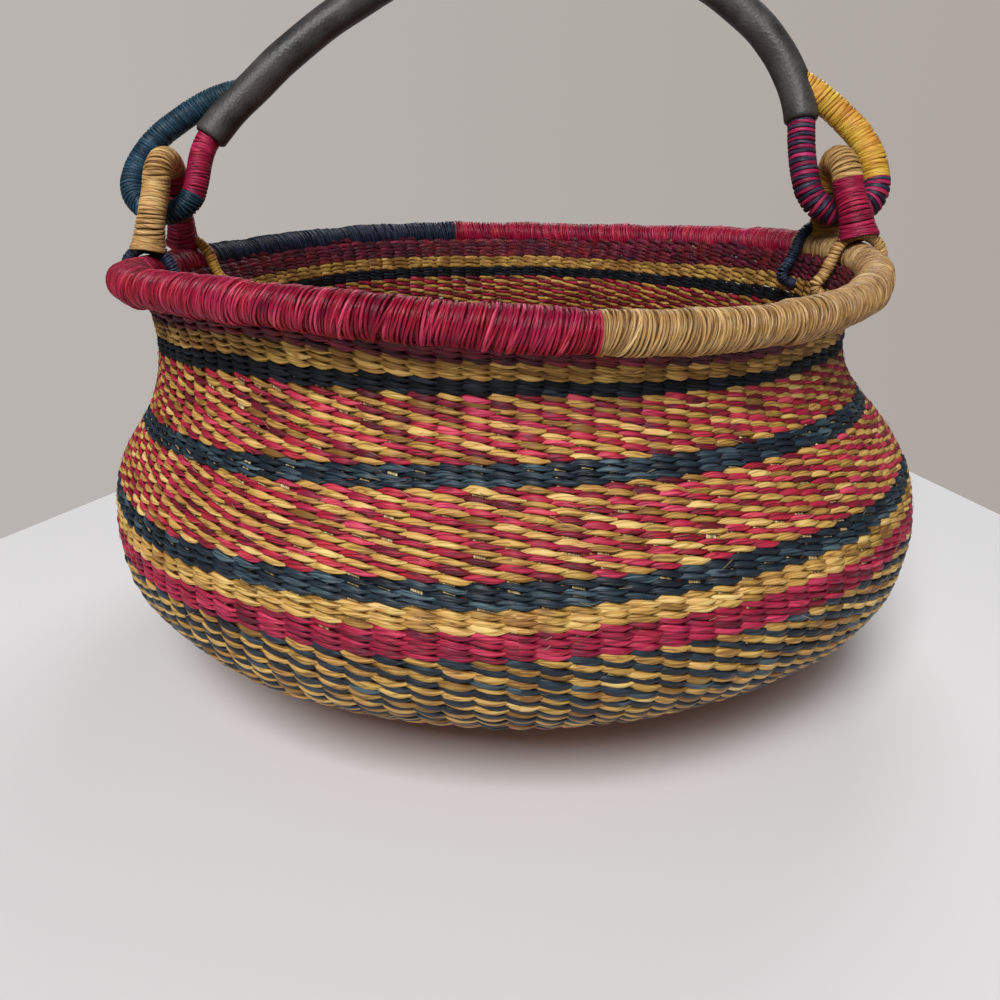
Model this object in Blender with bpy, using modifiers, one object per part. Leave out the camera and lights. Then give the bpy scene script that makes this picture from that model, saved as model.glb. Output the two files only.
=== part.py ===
"""Pot-bellied twined grass basket with a bound rim, two ears and a swing handle.

Metres, +Z up. The origin is on the floor under the middle of the belly, and the ears stand
left and right along X. Run it with blender --background --python part.py, or from the text editor.
"""

import math

import bmesh
import bpy
from mathutils import Vector
from mathutils.geometry import interpolate_bezier

# Driving sizes of the woven body
BASE_RADIUS = 0.100
START_RADIUS = 0.030
BELLY_RADIUS = 0.2165
BELLY_HEIGHT = 0.086
NECK_PINCH = 0.0038
NECK_BELOW_RIM = 0.026
WALL = 0.0055
BASE_RISE_OUT = 0.094
BASE_RISE_UP = 0.0335
BELLY_HANDLE_DOWN = 0.042
BELLY_HANDLE_UP = 0.046
NECK_HANDLE = 0.039
NECK_HANDLE_UP = 0.008

# Driving sizes of the rim
RIM_RADIUS = 0.190
RIM_HEIGHT = 0.204
RIM_TUBE_RADIUS = 0.0085
RIM_BINDING = 0.0018
RIM_SEAT_ANGLE = math.radians(44.79)

# How far the hand-made body is out of true
MOUTH_LEAN = 0.008
LEAN_START_HEIGHT = 0.060
RIM_TILT = 0.0011
RIM_SWELL = 0.0028
RIM_RIPPLE = 0.0028
BELLY_TILT = 0.005
SHOULDER_SWELL = 0.003
FLAT_BELOW = 0.040
BELLY_WAVE_ABOVE = 0.090
SWELL_BELOW = 0.100
SWELL_ABOVE = 0.140
TILT_FADE_BELOW_RIM = 0.059
TILT_GONE_BELOW_RIM = 0.024
RIM_WAVE_BELOW_RIM = 0.039

LEFT, RIGHT = "left", "right"

# Driving sizes of the ears and their feet
EAR_BACK = 0.020
EAR_FEET_APART = 0.054
EAR_STRAND_RADII = {LEFT: 0.0075, RIGHT: 0.0081}
EAR_BINDING = 0.0016
EAR_ARCH_RADIUS = 0.0146
EAR_ARCH_ABOVE_RIM = 0.038
EAR_LEANS = {LEFT: 0.0051, RIGHT: 0.0068}
EAR_LEG_LIFT = 0.0052
FOOT_STRAND_RADIUS = 0.0031
FOOT_APEX_LIFT = 0.0042

# Driving sizes of the swing handle, which rests leaning back
HINGE_ABOVE_RIM = 0.025
HINGE_INSETS = {LEFT: 0.0013, RIGHT: 0.0024}
HANDLE_LEAN_BACK = math.radians(20)
HANDLE_RISE = 0.150
RING_STRAND_RADII = {LEFT: 0.0067, RIGHT: 0.0076}
RING_BINDING = 0.0016
GRIP_RADIUS = 0.0095
GRIP_LEATHER = 0.0018
GRIP_CORE_INSET = 0.0015

# Clearances
GAP = 0.0003
EASE = 0.0005
MERGE = 0.00001

# The wall ends under the rim, where its outer edge just clears the rim tube
MOUTH_RADIUS = RIM_RADIUS - (RIM_TUBE_RADIUS + GAP) * math.sin(RIM_SEAT_ANGLE)
MOUTH_HEIGHT = RIM_HEIGHT - (RIM_TUBE_RADIUS + GAP) * math.cos(RIM_SEAT_ANGLE)

# What follows the rim up and down
NECK_RADIUS = MOUTH_RADIUS - NECK_PINCH
NECK_HEIGHT = RIM_HEIGHT - NECK_BELOW_RIM
TILT_FADE_HEIGHT = RIM_HEIGHT - TILT_FADE_BELOW_RIM
TILT_GONE_HEIGHT = RIM_HEIGHT - TILT_GONE_BELOW_RIM
RIM_WAVE_HEIGHT = RIM_HEIGHT - RIM_WAVE_BELOW_RIM
EAR_ARCH_HEIGHT = RIM_HEIGHT + EAR_ARCH_ABOVE_RIM
HINGE_HEIGHT = RIM_HEIGHT + HINGE_ABOVE_RIM

# Bands of the wall, as shares of its length from the edge of the base to the rim
BAND_TOP_SHARES = (
    ("base_curve_rows", 0.375),
    ("lower_two_tone_rows", 0.562),
    ("lower_crimson_band", 0.604),
    ("lower_gold_band", 0.635),
    ("lower_navy_band", 0.670),
    ("belly_two_tone_rows", 0.788),
    ("middle_navy_band", 0.820),
    ("shoulder_two_tone_rows", 0.916),
    ("upper_navy_band", 0.942),
    ("upper_gold_band", 0.974),
    ("upper_crimson_rows", 1.0),
)
LONG_BANDS = ("base_curve_rows", "lower_two_tone_rows", "belly_two_tone_rows", "shoulder_two_tone_rows")
THREADED_BAND = "upper_gold_band"

# How finely round things are drawn
AROUND = 48
WALL_SAMPLES = 40
LONG_BAND_STEPS = 4
SHORT_BAND_STEPS = 1
ARCH_STEPS = 2
RING_STEPS = 2
FOOT_SIDES = 6
CORE_SIDES = 8
SLEEVE_SIDES = 10


def cleared_scene():
    for obj in list(bpy.data.objects):
        bpy.data.objects.remove(obj, do_unlink=True)


def collection_named(name):
    made = bpy.data.collections.new(name)
    bpy.context.scene.collection.children.link(made)
    return made


def grass(name, colour, roughness=0.62):
    """A Principled material of dyed or natural elephant grass."""
    made = bpy.data.materials.new(name)
    made.use_nodes = True
    shader = made.node_tree.nodes["Principled BSDF"]
    shader.inputs["Base Color"].default_value = (*colour, 1.0)
    shader.inputs["Roughness"].default_value = roughness
    shader.inputs["Metallic"].default_value = 0.0
    made.diffuse_color = (*colour, 1.0)
    return made


cleared_scene()
PIECES = collection_named("bolga_basket")
CUTTERS = collection_named("cutters")

CRIMSON = grass("crimson_grass", (0.48, 0.03, 0.07))
DARK_CRIMSON = grass("dark_crimson_grass", (0.22, 0.015, 0.05))
GOLD = grass("gold_grass", (0.62, 0.38, 0.10))
NATURAL = grass("natural_grass", (0.66, 0.44, 0.18))
NAVY = grass("navy_grass", (0.02, 0.045, 0.08))
YELLOW = grass("yellow_grass", (0.56, 0.33, 0.05))
TWO_TONE = grass("crimson_and_gold_grass", (0.52, 0.20, 0.09))
NAVY_TWO_TONE = grass("navy_and_gold_grass", (0.28, 0.21, 0.10))
STRIPED = grass("crimson_and_navy_grass", (0.25, 0.04, 0.07))
STALKS = grass("grass_stalks", (0.50, 0.36, 0.17), roughness=0.75)
LEATHER = grass("dark_leather", (0.06, 0.055, 0.05), roughness=0.48)


def eased(value, low, high):
    """0 up to low, 1 from high, and a smooth step between."""
    held = min(max((value - low) / (high - low), 0.0), 1.0)
    return held * held * (3 - 2 * held)


def lean(height):
    """How far the hand-made body leans to the left at this height."""
    return -MOUTH_LEAN * eased(height, LEAN_START_HEIGHT, NECK_HEIGHT)


def lift(height, angle):
    """How far a row of this height is lifted at this angle, counted from the front towards the right."""
    rim_share = min(max((height - RIM_WAVE_HEIGHT) / (MOUTH_HEIGHT - RIM_WAVE_HEIGHT), 0.0), 1.0)
    rim_wave = (RIM_TILT * math.sin(angle) - RIM_SWELL * math.sin(2 * angle)
                - RIM_RIPPLE * math.sin(3 * angle))
    tilt = BELLY_TILT * (1 - eased(height, TILT_FADE_HEIGHT, TILT_GONE_HEIGHT)) * math.sin(angle)
    swell = SHOULDER_SWELL * eased(height, SWELL_BELOW, SWELL_ABOVE) * math.cos(2 * angle)
    body_share = eased(height, FLAT_BELOW, BELLY_WAVE_ABOVE) * (1 - rim_share)
    return rim_share * rim_wave + body_share * (tilt + swell)


def placed(radius, height, angle):
    """The point of the leaning, waving body at this radius, height and angle."""
    return Vector((lean(height) + radius * math.sin(angle),
                   -radius * math.cos(angle),
                   height + lift(height, angle)))


def wall_line():
    """Points up the outside of the wall, from the edge of the base to the rim."""
    base = Vector((BASE_RADIUS, 0))
    belly = Vector((BELLY_RADIUS, BELLY_HEIGHT))
    neck = Vector((NECK_RADIUS, NECK_HEIGHT))
    mouth = Vector((MOUTH_RADIUS, MOUTH_HEIGHT))
    flare = Vector((MOUTH_RADIUS - NECK_RADIUS, MOUTH_HEIGHT - NECK_HEIGHT)) / 3
    stretches = (
        (base, base + Vector((BASE_RISE_OUT, BASE_RISE_UP)), belly - Vector((0, BELLY_HANDLE_DOWN)), belly),
        (belly, belly + Vector((0, BELLY_HANDLE_UP)), neck - Vector((0, NECK_HANDLE)), neck),
        (neck, neck + Vector((0, NECK_HANDLE_UP)), mouth - flare, mouth),
    )
    points = []
    for knot, handle, next_handle, next_knot in stretches:
        points += interpolate_bezier(knot, handle, next_handle, next_knot, WALL_SAMPLES)[:-1]
    return points + [mouth]


LINE = wall_line()
LENGTHS = [0.0]
for before, after in zip(LINE, LINE[1:]):
    LENGTHS.append(LENGTHS[-1] + (after - before).length)
WALL_LENGTH = LENGTHS[-1]


def wall_point(along):
    """The outer point of the wall this far up from the base's edge, and the way into the wall there."""
    last = len(LINE) - 2
    step = min(max(sum(length <= along for length in LENGTHS) - 1, 0), last)
    share = (along - LENGTHS[step]) / (LENGTHS[step + 1] - LENGTHS[step])
    before, after = LINE[max(step - 1, 0)], LINE[min(step + 2, last + 1)]
    up = (after - before).normalized()
    return LINE[step].lerp(LINE[step + 1], share), Vector((-up.y, up.x))


def band_section(low, high, steps):
    """The closed outline of a band's wall between two lengths along the wall: down outside, up inside."""
    outer, inner = [], []
    for step in range(steps + 1):
        point, inward = wall_point(high + (low - high) * step / steps)
        outer.append(point)
        inner.append(point + inward * WALL)
    return outer + inner[::-1]


def mesh_piece(name, mesh, material, collection=None):
    """Gives a finished mesh its faces' direction, smooth shading, material and object."""
    work = bmesh.new()
    work.from_mesh(mesh)
    bmesh.ops.remove_doubles(work, verts=work.verts, dist=MERGE)
    bmesh.ops.recalc_face_normals(work, faces=work.faces)
    work.to_mesh(mesh)
    work.free()
    mesh.materials.clear()
    mesh.materials.append(material)
    mesh.shade_smooth()
    mesh.set_sharp_from_angle(angle=math.radians(50))
    piece = bpy.data.objects.new(name, mesh)
    (collection or PIECES).objects.link(piece)
    return piece


def evaluated_mesh(source):
    """The mesh that an object's modifiers or bevel make. The object itself is removed."""
    bpy.context.view_layer.update()
    graph = bpy.context.evaluated_depsgraph_get()
    mesh = bpy.data.meshes.new_from_object(source.evaluated_get(graph))
    mesh.transform(source.matrix_world)
    bpy.data.objects.remove(source, do_unlink=True)
    return mesh


def turned(name, outline, material, is_closed=True):
    """Turns an outline round the upright axis, then gives it the body's lean and wave."""
    work = bmesh.new()
    corners = [work.verts.new((point.x, 0, point.y)) for point in outline]
    for first, second in zip(corners, corners[1:]):
        work.edges.new((first, second))
    if is_closed:
        work.edges.new((corners[-1], corners[0]))
    mesh = bpy.data.meshes.new(name)
    work.to_mesh(mesh)
    work.free()
    source = bpy.data.objects.new(name + "_outline", mesh)
    PIECES.objects.link(source)
    screw = source.modifiers.new("turn", "SCREW")
    screw.steps = AROUND
    screw.render_steps = AROUND
    screw.use_merge_vertices = True
    screw.merge_threshold = MERGE
    solid = evaluated_mesh(source)
    for vertex in solid.vertices:
        angle = math.atan2(vertex.co.x, -vertex.co.y)
        radius = math.hypot(vertex.co.x, vertex.co.y)
        vertex.co = placed(radius, vertex.co.z, angle)
    return mesh_piece(name, solid, material)


def tube_source(name, points, radius, sides, is_ring=False, is_capped=True, flares=None):
    """A round tube along points, as a curve object with a bevel."""
    curve = bpy.data.curves.new(name, "CURVE")
    curve.dimensions = "3D"
    curve.bevel_depth = radius
    curve.bevel_resolution = (sides - 4) // 2
    curve.use_fill_caps = is_capped
    spline = curve.splines.new("POLY")
    spline.points.add(len(points) - 1)
    for index, point in enumerate(points):
        spline.points[index].co = (*point, 1)
        spline.points[index].radius = flares[index] if flares else 1
    spline.use_cyclic_u = is_ring
    source = bpy.data.objects.new(name + "_line", curve)
    PIECES.objects.link(source)
    return source


def rod(name, points, radius, material, sides=CORE_SIDES, is_ring=False, collection=None):
    return mesh_piece(name, evaluated_mesh(tube_source(name, points, radius, sides, is_ring)),
                      material, collection)


def sleeve(name, points, radius, thickness, material, flares=None):
    """A binding: an open tube of this outer radius, given its thickness inwards."""
    mesh = evaluated_mesh(tube_source(name, points, radius, SLEEVE_SIDES, is_capped=False, flares=flares))
    work = bmesh.new()
    work.from_mesh(mesh)
    bmesh.ops.remove_doubles(work, verts=work.verts, dist=MERGE)
    bmesh.ops.recalc_face_normals(work, faces=work.faces)
    work.to_mesh(mesh)
    work.free()
    source = bpy.data.objects.new(name + "_skin", mesh)
    PIECES.objects.link(source)
    skin = source.modifiers.new("binding", "SOLIDIFY")
    skin.thickness = thickness
    skin.offset = -1
    skin.use_even_offset = True
    return mesh_piece(name, evaluated_mesh(source), material)


def core_radius(outer_radius, thickness):
    """The radius of a core that clears a faceted binding by the gap."""
    return (outer_radius - thickness) * math.cos(math.pi / SLEEVE_SIDES) - GAP


def joined(first, second):
    """One body from two overlapping ones."""
    union = first.modifiers.new("join", "BOOLEAN")
    union.operation = "UNION"
    union.solver = "EXACT"
    union.object = second
    name, material = first.name, first.data.materials[0]
    mesh = evaluated_mesh(first)
    bpy.data.objects.remove(second, do_unlink=True)
    return mesh_piece(name, mesh, material)


def stretch(points, start, end):
    """The part of a line of points between two lengths along it."""
    lengths = [0.0]
    for before, after in zip(points, points[1:]):
        lengths.append(lengths[-1] + (after - before).length)

    def at(length):
        step = min(sum(known <= length for known in lengths) - 1, len(points) - 2)
        share = (length - lengths[step]) / (lengths[step + 1] - lengths[step])
        return points[step].lerp(points[step + 1], share)

    inside = [point for point, known in zip(points, lengths) if start + EASE < known < end - EASE]
    return [at(start)] + inside + [at(end)]


def line_length(points):
    return sum((after - before).length for before, after in zip(points, points[1:]))


def seam(points, share):
    """The length at the middle of the straight that holds this share of a line of points."""
    wanted = share * line_length(points)
    reached = 0.0
    for before, after in zip(points, points[1:]):
        straight = (after - before).length
        if reached + straight >= wanted:
            return reached + straight / 2
        reached += straight
    return reached


def smooth_line(anchors, steps, is_ring=False):
    """Points of one smooth curve through the anchors."""
    curve = bpy.data.curves.new("guide", "CURVE")
    curve.dimensions = "3D"
    spline = curve.splines.new("BEZIER")
    spline.bezier_points.add(len(anchors) - 1)
    for knot, anchor in zip(spline.bezier_points, anchors):
        knot.co = anchor
        knot.handle_left_type = "AUTO"
        knot.handle_right_type = "AUTO"
    spline.use_cyclic_u = is_ring
    spline.resolution_u = steps
    guide = bpy.data.objects.new("guide", curve)
    PIECES.objects.link(guide)
    mesh = evaluated_mesh(guide)
    points = [vertex.co.copy() for vertex in mesh.vertices]
    bpy.data.meshes.remove(mesh)
    return points


def woven_wall():
    """The flat base, then the coloured bands, each a turned ring of the full wall."""
    half = GAP / 2
    edge_slant = WALL * BASE_RISE_UP / BASE_RISE_OUT
    start = [Vector((0, WALL)), Vector((START_RADIUS - half, WALL)), Vector((START_RADIUS - half, 0)),
             Vector((0, 0))]
    turned("base_start", start, NATURAL, is_closed=False)
    rows = [Vector((START_RADIUS + half, WALL)), Vector((BASE_RADIUS - edge_slant - half, WALL)),
            Vector((BASE_RADIUS - half, 0)), Vector((START_RADIUS + half, 0))]
    turned("base_rows", rows, TWO_TONE)
    colours = {
        "base_curve_rows": TWO_TONE, "lower_two_tone_rows": NAVY_TWO_TONE,
        "lower_crimson_band": CRIMSON, "lower_gold_band": GOLD, "lower_navy_band": NAVY,
        "belly_two_tone_rows": TWO_TONE, "middle_navy_band": NAVY, "shoulder_two_tone_rows": TWO_TONE,
        "upper_navy_band": NAVY, "upper_gold_band": GOLD, "upper_crimson_rows": DARK_CRIMSON,
    }
    bands = {}
    bottom = 0.0
    for name, top_share in BAND_TOP_SHARES:
        top = top_share * WALL_LENGTH
        end = top if top_share == 1.0 else top - half
        steps = LONG_BAND_STEPS if name in LONG_BANDS else SHORT_BAND_STEPS
        bands[name] = turned(name, band_section(bottom + half, end, steps), colours[name])
        bottom = top
    return bands


# The bindings of the rim and the angle where each one starts, from the front towards the right
RIM_BINDINGS = (
    ("rim_natural_binding", math.radians(12), NATURAL),
    ("rim_back_crimson_binding", math.radians(108), CRIMSON),
    ("rim_navy_binding", math.radians(191), NAVY),
    ("rim_front_crimson_binding", math.radians(252), CRIMSON),
)
RIM_CHORD = 2 * math.pi / AROUND


def chord_at(angle):
    return math.floor(angle / RIM_CHORD)


def rim():
    """The bundle of stalk ends round the mouth, and the four lengths of binding over it."""
    circle = [placed(RIM_RADIUS, RIM_HEIGHT, RIM_CHORD * step) for step in range(AROUND)]
    rod("rim_core", circle, core_radius(RIM_TUBE_RADIUS, RIM_BINDING), STALKS, is_ring=True)
    for (name, start, material), (_, end, _) in zip(RIM_BINDINGS, RIM_BINDINGS[1:] + RIM_BINDINGS[:1]):
        first, last = chord_at(start), chord_at(end)
        last += AROUND if last < first else 0
        clear = GAP / 2 / RIM_RADIUS / RIM_CHORD
        shares = [first + 0.5 + clear] + list(range(first + 1, last + 1)) + [last + 0.5 - clear]
        path = [rim_point(share * RIM_CHORD) for share in shares]
        sleeve(name, path, RIM_TUBE_RADIUS, RIM_BINDING, material)


def rim_point(angle):
    """The middle of the rim at this angle, on the same chords as its core."""
    index = chord_at(angle)
    low = placed(RIM_RADIUS, RIM_HEIGHT, RIM_CHORD * index)
    high = placed(RIM_RADIUS, RIM_HEIGHT, RIM_CHORD * (index + 1))
    return low.lerp(high, angle / RIM_CHORD - index)


def outboard(side):
    """The sign of X on a side."""
    return 1 if side == RIGHT else -1


def ear_angle(side, along):
    """The angle of the rim point that lies this far back from the middle, on one side."""
    return outboard(side) * (math.pi / 2 + math.asin(along / RIM_RADIUS))


def ear_x(side):
    return rim_point(ear_angle(side, EAR_BACK)).x


def ear_line(side):
    """The middle of an ear's strand: up from the front foot, over the leaning arch and down again."""
    top = EAR_ARCH_HEIGHT + EAR_ARCH_RADIUS
    legs = []
    for way in (-1, 1):
        foot = rim_point(ear_angle(side, EAR_BACK + way * EAR_FEET_APART / 2))
        bottom = foot.z + RIM_TUBE_RADIUS + EAR_LEG_LIFT

        def leaning(along, height):
            share = (height - bottom) / (top - bottom)
            inboard = -outboard(side) * EAR_LEANS[side] * share
            return Vector((ear_x(side) + inboard, EAR_BACK + along, height))

        low = leaning(way * EAR_FEET_APART / 2, bottom)
        spring = leaning(way * EAR_ARCH_RADIUS, EAR_ARCH_HEIGHT)
        knee = low.lerp(spring, 0.5) + Vector((0, way * EAR_STRAND_RADII[side] / 4, 0))
        legs.append([low, knee, spring])
    arch = []
    for step in range(1, 6):
        turn = math.pi * step / 6
        arch.append(leaning(-math.cos(turn) * EAR_ARCH_RADIUS,
                            EAR_ARCH_HEIGHT + math.sin(turn) * EAR_ARCH_RADIUS))
    return smooth_line(legs[0] + arch + legs[1][::-1], 2)


def foot_line(side, along, band_middle):
    """The closed strand of one foot: over the rim, in through the wall below it and up inside."""
    angle = ear_angle(side, along)
    middle = rim_point(angle)
    outward = Vector((math.sin(angle), -math.cos(angle), 0))
    clear = RIM_TUBE_RADIUS + GAP + FOOT_STRAND_RADIUS + EASE
    strand = 2 * FOOT_STRAND_RADIUS
    outer_point, _ = wall_point(band_middle)
    crossing = outer_point.y + lift(outer_point.y, angle) - middle.z
    outside = outer_point.x - RIM_RADIUS
    inside = outside - WALL

    def round_rim(turn):
        return clear * math.cos(math.radians(turn)), clear * math.sin(math.radians(turn))

    flat = [(0, RIM_TUBE_RADIUS + FOOT_APEX_LIFT)]
    flat += [round_rim(turn) for turn in (56, 24, -8, -42)]
    flat += [
        (outside + strand, crossing + strand / 4),
        (outside, crossing),
        (inside, crossing),
        (inside - strand, crossing + strand),
        (inside - strand / 2, crossing / 2),
        (-clear - strand / 8, 0),
    ]
    flat += [round_rim(turn) for turn in (156, 124)]
    anchors = [middle + outward * across + Vector((0, 0, up)) for across, up in flat]
    return smooth_line(anchors, 2, is_ring=True)


def cutter(name, points, radius, sides=CORE_SIDES, is_ring=False):
    """A hidden rod that cuts room for a strand."""
    made = rod(name, points, radius, STALKS, sides=sides, is_ring=is_ring, collection=CUTTERS)
    made.hide_render = True
    made.display_type = "WIRE"
    return made


def cut(piece, tool):
    difference = piece.modifiers.new(tool.name, "BOOLEAN")
    difference.operation = "DIFFERENCE"
    difference.solver = "EXACT"
    difference.object = tool


# Each ear's bindings, as the share of the strand at which each one ends, from the front foot
EAR_BINDING_SHARES = {
    LEFT: ((0.60, "natural", NATURAL), (1.0, "crimson", CRIMSON)),
    RIGHT: ((0.33, "crimson", CRIMSON), (0.62, "natural", NATURAL), (1.0, "yellow", YELLOW)),
}
FOOT_COLOURS = {
    (LEFT, "front"): NAVY, (LEFT, "back"): YELLOW, (RIGHT, "front"): NATURAL, (RIGHT, "back"): NAVY,
}


def ears(bands):
    """Each ear is a bundle of grass bent into an arch, with its bindings and two foot strands."""
    low_share = dict(BAND_TOP_SHARES)["upper_navy_band"]
    high_share = dict(BAND_TOP_SHARES)[THREADED_BAND]
    band_middle = (low_share + high_share) / 2 * WALL_LENGTH
    for side in (LEFT, RIGHT):
        line = ear_line(side)
        whole = line_length(line)
        radius = EAR_STRAND_RADII[side]
        foot_tip = FOOT_APEX_LIFT + 2 * FOOT_STRAND_RADIUS - EAR_LEG_LIFT
        core = stretch(line, foot_tip, whole - foot_tip)
        rod(f"{side}_ear_core", core, core_radius(radius, EAR_BINDING), STALKS)
        bindings = []
        bottom = 0
        for top_share, colour, material in EAR_BINDING_SHARES[side]:
            top = seam(line, top_share) - EASE / 2 if top_share < 1 else whole
            path = stretch(line, bottom, top)
            bindings.append(sleeve(f"{side}_ear_{colour}_binding", path, radius, EAR_BINDING, material))
            bottom = top + EASE
        for place, way, leg in (("front", -1, bindings[0]), ("back", 1, bindings[-1])):
            path = foot_line(side, EAR_BACK + way * EAR_FEET_APART / 2, band_middle)
            name = f"{side}_ear_{place}_foot"
            rod(name, path, FOOT_STRAND_RADIUS, FOOT_COLOURS[side, place], sides=FOOT_SIDES, is_ring=True)
            room = cutter(name + "_room", path, FOOT_STRAND_RADIUS + GAP, sides=FOOT_SIDES, is_ring=True)
            cut(bands[THREADED_BAND], room)
            cut(leg, room)


# The handle's lines in its own plane: across from the hinge towards the middle, and up, as shares
# of the handle's rise. A ring runs from where it joins the arch, down outboard and up inboard.
# The crown's shares across are of half the way between the hinges.
RING_SHARES = {
    LEFT: ((0.320, 0.450), (0.267, 0.443), (0.200, 0.423), (0.127, 0.387), (0.055, 0.339),
           (-0.020, 0.280), (-0.079, 0.209), (-0.112, 0.143), (-0.119, 0.085), (-0.100, 0.043),
           (-0.057, 0.012), (0.000, 0.000), (0.059, 0.015), (0.101, 0.057), (0.119, 0.113),
           (0.132, 0.187), (0.147, 0.240)),
    RIGHT: ((0.180, 0.483), (0.127, 0.460), (0.060, 0.410), (-0.020, 0.337), (-0.071, 0.280),
            (-0.106, 0.221), (-0.127, 0.147), (-0.128, 0.083), (-0.104, 0.037), (-0.055, 0.007),
            (0.000, 0.000), (0.063, 0.021), (0.107, 0.067), (0.129, 0.137), (0.141, 0.220),
            (0.144, 0.280)),
}
ARCH_SHARES = {
    LEFT: ((0.167, 0.277), (0.200, 0.320), (0.250, 0.380), (0.320, 0.450)),
    RIGHT: ((0.145, 0.333), (0.157, 0.413), (0.190, 0.507), (0.240, 0.600)),
}
CROWN_SHARES = {
    LEFT: ((0.362, 0.577), (0.538, 0.747), (0.779, 0.913), (1.046, 1.000)),
    RIGHT: ((0.286, 0.733), (0.447, 0.873), (0.687, 0.977)),
}
RING_BINDING_SHARES = {
    LEFT: ((0.768, "navy", NAVY), (1.0, "crimson", CRIMSON)),
    RIGHT: ((0.417, "yellow", YELLOW), (1.0, "striped", STRIPED)),
}


def hinge_x(side):
    return ear_x(side) - outboard(side) * HINGE_INSETS[side]


def handle_point(side, across, up_share):
    """The point of the handle's leaning plane this far in from a side's hinge and this high."""
    up = up_share * HANDLE_RISE
    return Vector((hinge_x(side) - outboard(side) * across,
                   EAR_BACK + up * math.sin(HANDLE_LEAN_BACK),
                   HINGE_HEIGHT + up * math.cos(HANDLE_LEAN_BACK)))


def ring_point(side, shares):
    return handle_point(side, shares[0] * HANDLE_RISE, shares[1])


def arch_points(side):
    """One side of the arch, from its foot beside the ring up to its share of the crown."""
    half_way = (hinge_x(RIGHT) - hinge_x(LEFT)) / 2
    foot = [ring_point(side, shares) for shares in ARCH_SHARES[side]]
    return foot + [handle_point(side, across * half_way, up) for across, up in CROWN_SHARES[side]]


def handle():
    """The swing handle: one bundle with a ring at each end, the rings' bindings and the leather grip."""
    left, right = arch_points(LEFT), arch_points(RIGHT)
    below_left = ring_point(LEFT, RING_SHARES[LEFT][-1])
    below_right = ring_point(RIGHT, RING_SHARES[RIGHT][-1])
    line = smooth_line([below_left] + left + right[::-1] + [below_right], ARCH_STEPS)
    arch = line[ARCH_STEPS:-ARCH_STEPS]
    whole = line_length(arch)
    body = rod("handle_core", stretch(arch, GRIP_CORE_INSET, whole - GRIP_CORE_INSET),
               core_radius(GRIP_RADIUS, GRIP_LEATHER), STALKS)
    grip = sleeve("leather_grip", arch, GRIP_RADIUS, GRIP_LEATHER, LEATHER)
    for side, ends in ((LEFT, left), (RIGHT, right)):
        radius = RING_STRAND_RADII[side]
        core = core_radius(radius, RING_BINDING)
        anchors = [ring_point(side, shares) for shares in RING_SHARES[side]] + ends[:2]
        ring = smooth_line(anchors, RING_STEPS)
        body = joined(body, rod(f"{side}_ring_core", ring, core, STALKS))
        cut(grip, cutter(f"{side}_ring_room", ring, core + GAP))
        visible = line_length(ring[:-RING_STEPS]) - EASE
        grip_room = cutter(f"{side}_grip_room", arch, GRIP_RADIUS + GAP, sides=SLEEVE_SIDES)
        bottom = 0
        for top_share, colour, material in RING_BINDING_SHARES[side]:
            top = seam(ring, top_share) - EASE / 2 if top_share < 1 else visible
            path = stretch(ring, bottom, top)
            binding = sleeve(f"{side}_ring_{colour}_binding", path, radius, RING_BINDING, material)
            if bottom == 0:
                cut(binding, grip_room)
            bottom = top + EASE


ears(woven_wall())
rim()
handle()
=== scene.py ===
"""Pot-bellied twined grass basket with a bound rim, two ears and a swing handle, dressed for the render.

Metres, +Z up. Angles round the basket count from the front towards the right.
"""

import math

import bpy
import numpy as np
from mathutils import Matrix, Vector
from mathutils.geometry import interpolate_bezier


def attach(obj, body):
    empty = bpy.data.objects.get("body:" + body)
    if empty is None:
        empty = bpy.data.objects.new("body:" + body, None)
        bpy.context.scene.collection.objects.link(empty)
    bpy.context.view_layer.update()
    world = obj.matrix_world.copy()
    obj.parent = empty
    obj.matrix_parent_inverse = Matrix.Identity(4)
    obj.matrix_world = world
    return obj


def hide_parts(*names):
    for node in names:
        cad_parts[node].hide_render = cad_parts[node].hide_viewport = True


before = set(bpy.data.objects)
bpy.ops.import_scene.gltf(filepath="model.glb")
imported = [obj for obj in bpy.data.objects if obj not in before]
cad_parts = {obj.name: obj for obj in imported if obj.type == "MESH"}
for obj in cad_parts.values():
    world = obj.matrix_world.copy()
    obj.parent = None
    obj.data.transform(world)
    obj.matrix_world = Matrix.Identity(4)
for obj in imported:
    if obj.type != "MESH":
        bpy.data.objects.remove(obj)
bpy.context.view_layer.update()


# The line of the wall
#
# The maker twines flat round the start, turns the stakes up over the base's edge, lets them out to a
# wide belly and draws them in to a neck. Rows keep to this line, leaning and waving a little by hand.
BASE_RADIUS = 0.100
BELLY_RADIUS = 0.2165
BELLY_HEIGHT = 0.086
NECK_RADIUS = 0.180
NECK_HEIGHT = 0.178
MOUTH_RADIUS = 0.1838
MOUTH_HEIGHT = 0.197755
WALL_KNOTS = (
    ((BASE_RADIUS, 0.0), (0.194, 0.0335), (BELLY_RADIUS, 0.044), (BELLY_RADIUS, BELLY_HEIGHT)),
    ((BELLY_RADIUS, BELLY_HEIGHT), (BELLY_RADIUS, 0.132), (NECK_RADIUS, 0.139), (NECK_RADIUS, NECK_HEIGHT)),
    ((NECK_RADIUS, NECK_HEIGHT), (NECK_RADIUS, 0.186), (0.18253, 0.191173), (MOUTH_RADIUS, MOUTH_HEIGHT)),
)
UNDER_RIM = ((0.1872, 0.2030), (0.1890, 0.2060))
BASE_STEPS = 40
WALL_STEPS = 120
WALL = 0.0055

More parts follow.
